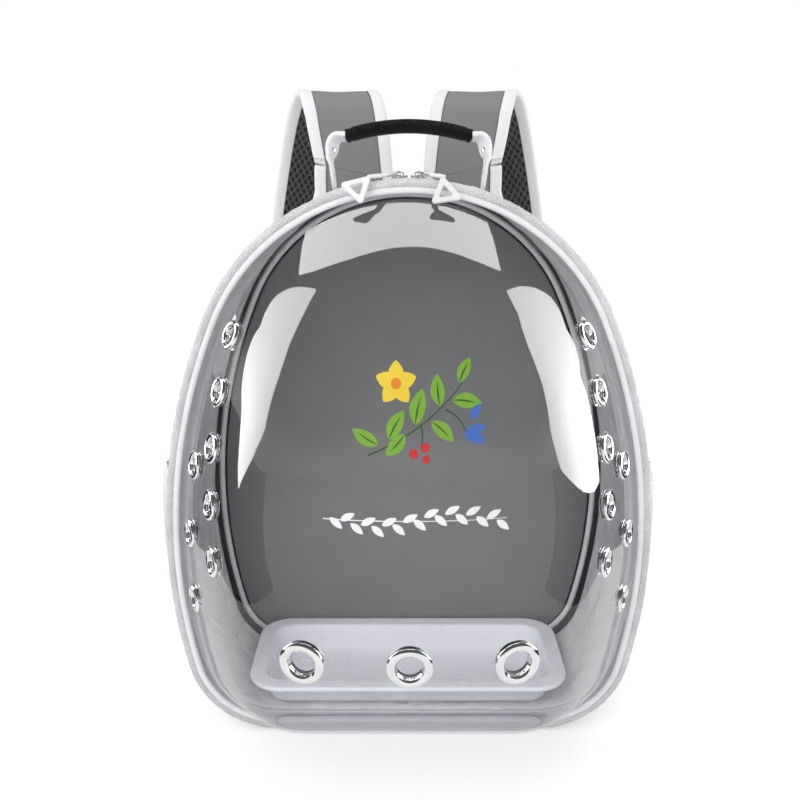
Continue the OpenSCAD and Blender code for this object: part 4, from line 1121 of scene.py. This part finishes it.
# The grip is a round bar along an arc. Its radius is 4.85 mm, a tenth less in a groove at 0.9 of the
# way to each end, and rounded off over the last 0.035 of it.
a = np.linspace(-half_angle, half_angle, 90)
share = np.abs(a) / half_angle
girth = 4.85 * (1 - 0.1 * np.exp(-((share - 0.90) / 0.03) ** 2))
girth *= np.sqrt(np.clip(1 - np.clip((share - 0.965) / 0.035, 0, 1) ** 2, 0.2, 1))
path = np.stack([grip_r * np.sin(a), handle_y + 0 * a, grip_top - grip_r + grip_r * np.cos(a)], 1)
place(skin("handle_grip", capped(tube(path, girth, 28))), pebbled, "handle", "black_grip", "handle_grip")

# A leg is a flat oval section carried up side_line. Over 15 mm below the grip it narrows by 0.42,
# grows thicker, and turns its face by up to 38 degrees. The rivet stands on its face there.
foot, end_z = 409.53, grip_top - grip_r + grip_r * math.cos(half_angle)
side_line = eased(np.array([[51.6, foot - 9.4], [53.6, foot + 8], [54.4, (foot + end_z) / 2],
                            [53.4, end_z - 12], [52.6, end_z - 3], [48.5, end_z + 0.3],
                            [43.8, end_z]]), 4, False)
line_x, line_z = side_line[:, :1], side_line[:, 1:]
t = unit(np.gradient(side_line, axis=0))
rise = line_z - foot
near = softened((line_z - (end_z - 19)) / 15)
half = np.where(rise < 0, np.sqrt(np.clip(10 ** 2 - rise ** 2, 4, 100)), 10.0) * (1 - 0.42 * near)
thick = 1.25 + 0.6 * near
twist = np.radians(38 * near * np.clip((line_x - 42) / 8, 0.6, 1))
section = puffed(1.0, -1.0, 1.0, 12, 6.0)
wide, deep = section[:, 0] * half, section[:, 1] * thick
flat = deep * np.cos(twist) - wide * np.sin(twist)
leg = np.stack([line_x + t[:, 1:] * flat, handle_y + wide * np.cos(twist) + deep * np.sin(twist),
                line_z - t[:, :1] * flat], -1)
place(skin("handle_legs", *both(capped(leg))), webbing, "handle", "white_webbing", "handle_webbing")
k = np.argmin(np.abs(line_z - (end_z - 9)))
(t_x, t_z), turn = t[k], twist[k, 0]
front = np.array([-t_z * math.cos(turn), -math.sin(turn), t_x * math.cos(turn)])
aside = np.cross([0, 0, 1], front)
at = np.array([line_x[k, 0], handle_y, line_z[k, 0]]) + front * thick[k]
on_fold = seated(aside, np.cross(front, aside), front, at)
rivet = eased(np.array([[0.01, 1.1], [1.2, 1.0], [2.1, 0.5], [2.3, -0.3], [0.01, -0.3]]), 2, False)
place(skin("handle_rivets", *both(lathed(rivet, on_fold, 20))), chrome, "handle", "chrome")

patches = []
for side in (-1, 1):
    on_top = (moved_by(side * handle_half, handle_y, handle_z)
              @ turned("y", side * math.degrees(math.asin(handle_half / arch_r)))
              @ turned("x", -math.degrees(math.atan(draw_in / rear_d))))
    patches.append(put(plate(rounded(11, 18, 4), 0.6, 2.6, 0.8, count=12), on_top))
place(skin("handle_patches", *patches), stitched_patch, "shell", "white_leather", "handle_anchors")


# Tray
# The tray is moulded in one piece of white plastic with a satin gloss: a shallow tub on a rounded
# foot, its walls flared, and a wide flat flange whose edge turns down.
tray_plastic = finish("White moulded plastic", (0.90, 0.90, 0.955), 0.24, fine_grain, 0.0016, 0.00003,
                      tone=0.04, wear=0.05, space="Object", Specular_IOR_Level=0.3, Coat_Weight=0.08,
                      Coat_Roughness=0.15)

# Each row of the tray is a rectangle with round corners, set in from the flange's edge by the line's
# first number, at the height of its second. The line runs from under the floor round to its top.
tray_half, tray_deep, tray_corner = 125.04, 55, 26
line = np.array([[55, 5.6], [40, 5.6], [22, 5.6], [17, 5.8], [14.4, 8.6], [13.0, 16], [11.1, 26.4],
                 [2.1, 26.6], [2.0, 24.6], [0.3, 24.6], [0.0, 28.4], [3.0, 28.6], [10, 28.55], [13.2, 28.2],
                 [15.2, 20], [17.2, 10.6], [20, 8.0], [27, 7.6], [40, 7.6], [55, 7.6]])
shape = []
for inset, z in eased(line, 2, False):
    corner = max(tray_corner - 0.7 * inset, 0.5) if inset < 54.4 else max(tray_deep - inset, 0.0)
    loop = rounded(tray_half - inset, tray_deep - inset, corner) + [0, rim_y + 1 + tray_deep]
    shape.append(np.concatenate([loop, np.full((len(loop), 1), z)], 1))
place(skin("tray", np.array(shape)), tray_plastic, "tray", "tray_plastic", "tray")


# Shoulder straps
# Each strap is foam between grey coated cloth and black air mesh, bound along both edges with white
# webbing in two rows of stitches. A webbing end with a ladder lock joins it to the lower tab.
pad_line = np.array([[0, 0, 0], [-0.48, 0.02, 0.1], [-0.86, 0.12, 0.22], [-1, 0.32, 0.4],
                     [-0.76, 0.56, 0.68], [-0.1, 0.8, 0.98], [0.16, 0.96, 0.98], [0.36, 1, 0.83],
                     [0.55, 0.9, 0.6], [0.7, 0.7, 0.4]])
web_line = np.array([[0.7, 0.7, 0.4], [0.8, 0.48, 0.28], [0.9, 0.2, 0.15], [1, 0, 0]])
strap_reach, strap_spread, strap_rise = 82, 35, 54


def strap_run(line, steps=14):
    """A strap's path and its directions. The line gives shares: of the fall from head to foot, or of
    the rise above the head where it is negative, of the reach to the back and of the spread to the
    side. The path is a cubic curve through its points, which passes each in the direction from the
    one before to the one after, with steps between two. The directions turn from the swing axis at
    the head, and back to it at the foot."""
    fall, back, wide = line.T
    off = [strap_spread * wide, strap_reach * back, -strap_rise * np.minimum(fall, 0)]
    p = strap_head + (strap_foot - strap_head) * np.maximum(fall, 0)[:, None] + np.stack(off, 1)
    t = np.linspace(0, 1, steps + 1)[:-1, None]
    at = np.arange(len(p) - 1)
    a, b, c, d = (p[np.clip(at + k, 0, len(p) - 1)][:, None] for k in (-1, 0, 1, 2))
    curve = 2 * b + (c - a) * t + (2 * a - 5 * b + 4 * c - d) * t ** 2 + (3 * b - 3 * c + d - a) * t ** 3
    path = np.concatenate([0.5 * curve.reshape(-1, 3), p[-1:]])
    along = unit(np.gradient(path, axis=0))
    count = np.arange(len(path))
    if np.allclose(path[0], strap_head):
        square = np.clip(1 - count / (steps * 5 / 3), 0, 1)[:, None]
        along = along * (1 - square) - strap_axis * square
    if np.allclose(path[-1], strap_foot):
        square = np.clip(1 - count[::-1] / 8, 0, 1)[:, None]
        along = along * (1 - square) + strap_axis * square
    return path, unit(along)


air_mesh = air_mesh_like("Black air mesh", (0.038, 0.038, 0.040), 1.75)
lock_plastic = finish("Black moulded plastic", (0.028, 0.028, 0.03), 0.35, fine_grain, 0.0008, 0.00005,
                      space="Object")

# The padding is 22.3 mm to either side, and narrows by 0.34 of it in a quarter circle over the last
# 26 mm. Its foam thins over the last 12 mm as a square root.
path, along = strap_run(pad_line)
to_tip = measured(path)[-1] - measured(path)
near_tip = 1 - np.clip(to_tip / 26, 0, 1)
half = 22.3 * (1 - 0.34 * (1 - np.sqrt(1 - near_tip ** 2)))[:, None]
swell = np.clip(to_tip / 12, 0.15, 1)[:, None] ** 0.5


def widened(section):
    """A section whose across is scaled with the strap's half width at each point of the path."""
    return np.stack([section[:, 0] * half, section[:, 1] + 0 * half], -1)


foam = widened(puffed(1.0, 0.1, 5.95, 18, 4.5))
foam[..., 1] = 0.1 + (foam[..., 1] - 0.1) * swell
pad = carried(path, along, foam)
under = carried(path, along, widened(puffed(1.0, -1.9, -0.05, 12, 4)))
edges = [carried(path, along, edging(e, half)) for e in (-1, 1)]
web_path, web_along = strap_run(web_line)
web = carried(web_path, web_along, puffed(12.4, 0.65, 2.35, 12, 8))
t = web_along[4]
w = across(t)
o = np.cross(w, t)
on_web = seated(w, t, o, web_path[0] + t * 12.4 + o * 4.55)
frame_loop = rounded(15.6, 10.4, 3.2, 8)
frame_loop = spaced(np.concatenate([frame_loop, np.zeros((len(frame_loop), 1))], 1), 2.0)
lock_frame = put(tube(frame_loop, 1.7, 12, True), on_web)
bar_x = np.linspace(-15, 15, 12)
bars = [capped(put(tube(np.stack([bar_x, 0 * bar_x + y, 0 * bar_x], 1), 1.45), on_web))
        for y in (-3.5, 3.5)]
for side, name in ((1, "right"), (-1, "left")):
    flip = [side, 1, 1]
    padding = skin("strap_pad_" + name, pad * flip)
    place(padding, grey_strap, "strap_" + name, "grey_cloth", "strap_pad_" + name)
    for kind, parts, material, slot in (
            ("strap_mesh_", [under * flip], air_mesh, "black_mesh"),
            ("strap_binding_", [edge * flip for edge in edges], bound, "white_webbing"),
            ("strap_web_", [web * flip], webbing, "white_webbing"),
            ("ladder_lock_", [ring(lock_frame * flip), *[bar * flip for bar in bars]], lock_plastic,
             "buckle_plastic")):
        place(skin(kind + name, *parts), material, "strap_" + name, slot, kind + name)


# Studio
# A plain white floor and world and two soft lamps light the surfaces. Three softboxes, above and at
# the sides, and black flags on the floor are seen by gloss alone, and shape the dome's reflections.
scene = bpy.context.scene
scene.view_settings.view_transform = "Standard"


def glow(tree, strength):
    """White light of that strength."""
    return add(tree, "Emission", {"Color": (1, 1, 1, 1), "Strength": strength}).outputs[0]


def card(name, build, *grids, gloss_only=True):
    """A stage object of flat sheets, each over a grid of points in mm, with the surface that
    build(tree) gives. It may be hidden from every ray but glossy ones."""
    made = skin(name, *[sheet(np.asarray(grid, float)) for grid in grids])
    made.data.materials.append(lit(name, build))
    for kind in ("camera", "diffuse", "transmission", "shadow", "volume_scatter"):
        setattr(made, "visible_" + kind, not gloss_only)


def mirrored_rays(tree):
    """1 for the rays that see by reflection or through glass, and the light path's outputs."""
    rays = add(tree, "LightPath").outputs
    return maths(tree, "MAXIMUM", rays["Is Glossy Ray"], rays["Is Transmission Ray"]), rays


def paper(tree):
    """White paper that keeps shadows, and glows a little for the rays that show the background."""
    mirrored, rays = mirrored_rays(tree)
    level = maths(tree, "MULTIPLY_ADD", mirrored, 0.12, maths(tree, "MULTIPLY", rays["Is Camera Ray"], 0.32))
    matt = add(tree, "BsdfDiffuse", {"Color": (0.80, 0.80, 0.80, 1)}).outputs[0]
    return add(tree, "AddShader", {0: matt, 1: glow(tree, level)}).outputs[0]


far = 9000
card("floor", paper, [[(-far, -far, 0), (far, -far, 0)], [(-far, far, 0), (far, far, 0)]], gloss_only=False)

# The world is white behind the carrier. By gloss and through glass its ceiling is a tenth as light as
# its horizon, and matt surfaces get 0.92 of white from all of it.
scene.world = bpy.data.worlds.new("Studio")
scene.world.use_nodes = True
tree = scene.world.node_tree
up = add(tree, "SeparateXYZ", {0: tree.nodes.new("ShaderNodeTexCoord").outputs["Generated"]}).outputs[2]
levels = {0: up, 1: 0.04, 2: 0.3, 3: 1.0, 4: 0.1}
ceiling = add(tree, "MapRange", levels, interpolation_type="SMOOTHSTEP").outputs[0]
mirrored, rays = mirrored_rays(tree)
shown = maths(tree, "MAXIMUM", rays["Is Camera Ray"], maths(tree, "MULTIPLY", mirrored, ceiling))
matt = maths(tree, "SUBTRACT", 1.0, maths(tree, "MAXIMUM", rays["Is Camera Ray"], mirrored))
tree.links.new(maths(tree, "MULTIPLY_ADD", matt, 0.92, shown), tree.nodes["Background"].inputs["Strength"])
tree.nodes["Background"].inputs["Color"].default_value = (1, 1, 1, 1)

# Three black flags lie on the floor, at the left, at the right and behind the carrier.
near, far, z = 420, 8900, 2
flags = [[[(s * near, -near, z), (s * far, -1800, z)], [(s * near, far, z), (s * far, far, z)]]
         for s in (-1, 1)]
flags.append([[(-near, 260, z), (near, 260, z)], [(-near, far, z), (near, far, z)]])
card("flags", lambda tree: glow(tree, 0.04), *flags)

# Each softbox is a flat sheet between two bowed edges, which are the edges of its highlight.
x = np.linspace(-1, 1, 41)
near, far = 795 * x - 100, 590 * x - 95
bows = [np.stack([side, start + bow * side ** 2, 1200 + 0 * x], 1)
        for side, start, bow in ((near, 48, 0.000265), (far, 117, 0.00029))]
card("softbox_top", lambda tree: glow(tree, 11.0), bows)
for name, x, near, far in (
        ("softbox_left", -900, [[93, 132, 226, 350, 643, 872, 1384], [226, 190, 80, 0, 92, 183, 274]],
         [[93, 132, 226, 318, 671, 864, 1384], [227, 308, 379, 427, 336, 325, 280]]),
        ("softbox_right", 900, [[-16, 60, 215, 383, 606, 1063, 1302], [530, 300, -98, -76, 76, 243, 280]],
         [[-16, 124, 240, 346, 593, 825, 1302], [541, 520, 496, 465, 380, 349, 284]])):
    z = np.linspace(near[0][0], near[0][-1], 60)
    sides = [np.stack([x + 0 * z, np.interp(z, *side) + rim_y, z], 1) for side in (near, far)]
    card(name, lambda tree: glow(tree, 10.0), sides)


def lamp(name, at, size, radiance, aim=(0, 0, 0.2)):
    """A square area lamp that lights matt surfaces only: at a place, turned to its aim, with that size
    in metres and that radiance."""
    light = bpy.data.lights.new(name, "AREA")
    light.size, light.energy = size, radiance * math.pi * size ** 2
    made = bpy.data.objects.new(name, light)
    scene.collection.objects.link(made)
    made.location = at
    away = unit(np.subtract(at, aim))
    made.rotation_euler = (math.acos(away[2]), 0, math.atan2(away[1], away[0]) + math.pi / 2)
    made.visible_camera = made.visible_glossy = False


lamp("key", (-0.8, -1.7, 1.6), 1.4, 3.0)
lamp("rim", (0.9, 1.4, 1.7), 1.2, 0.9)

view = bpy.data.cameras.new("camera")
view.sensor_width, view.lens, view.shift_x = 36, 43.47, -0.00375
view.clip_start, view.clip_end = 0.01, 60
scene.camera = bpy.data.objects.new("camera", view)
scene.collection.objects.link(scene.camera)
scene.camera.location = (-0.004, -0.709, 0.445)
scene.camera.rotation_euler = (math.radians(90 - 16), 0, 0)
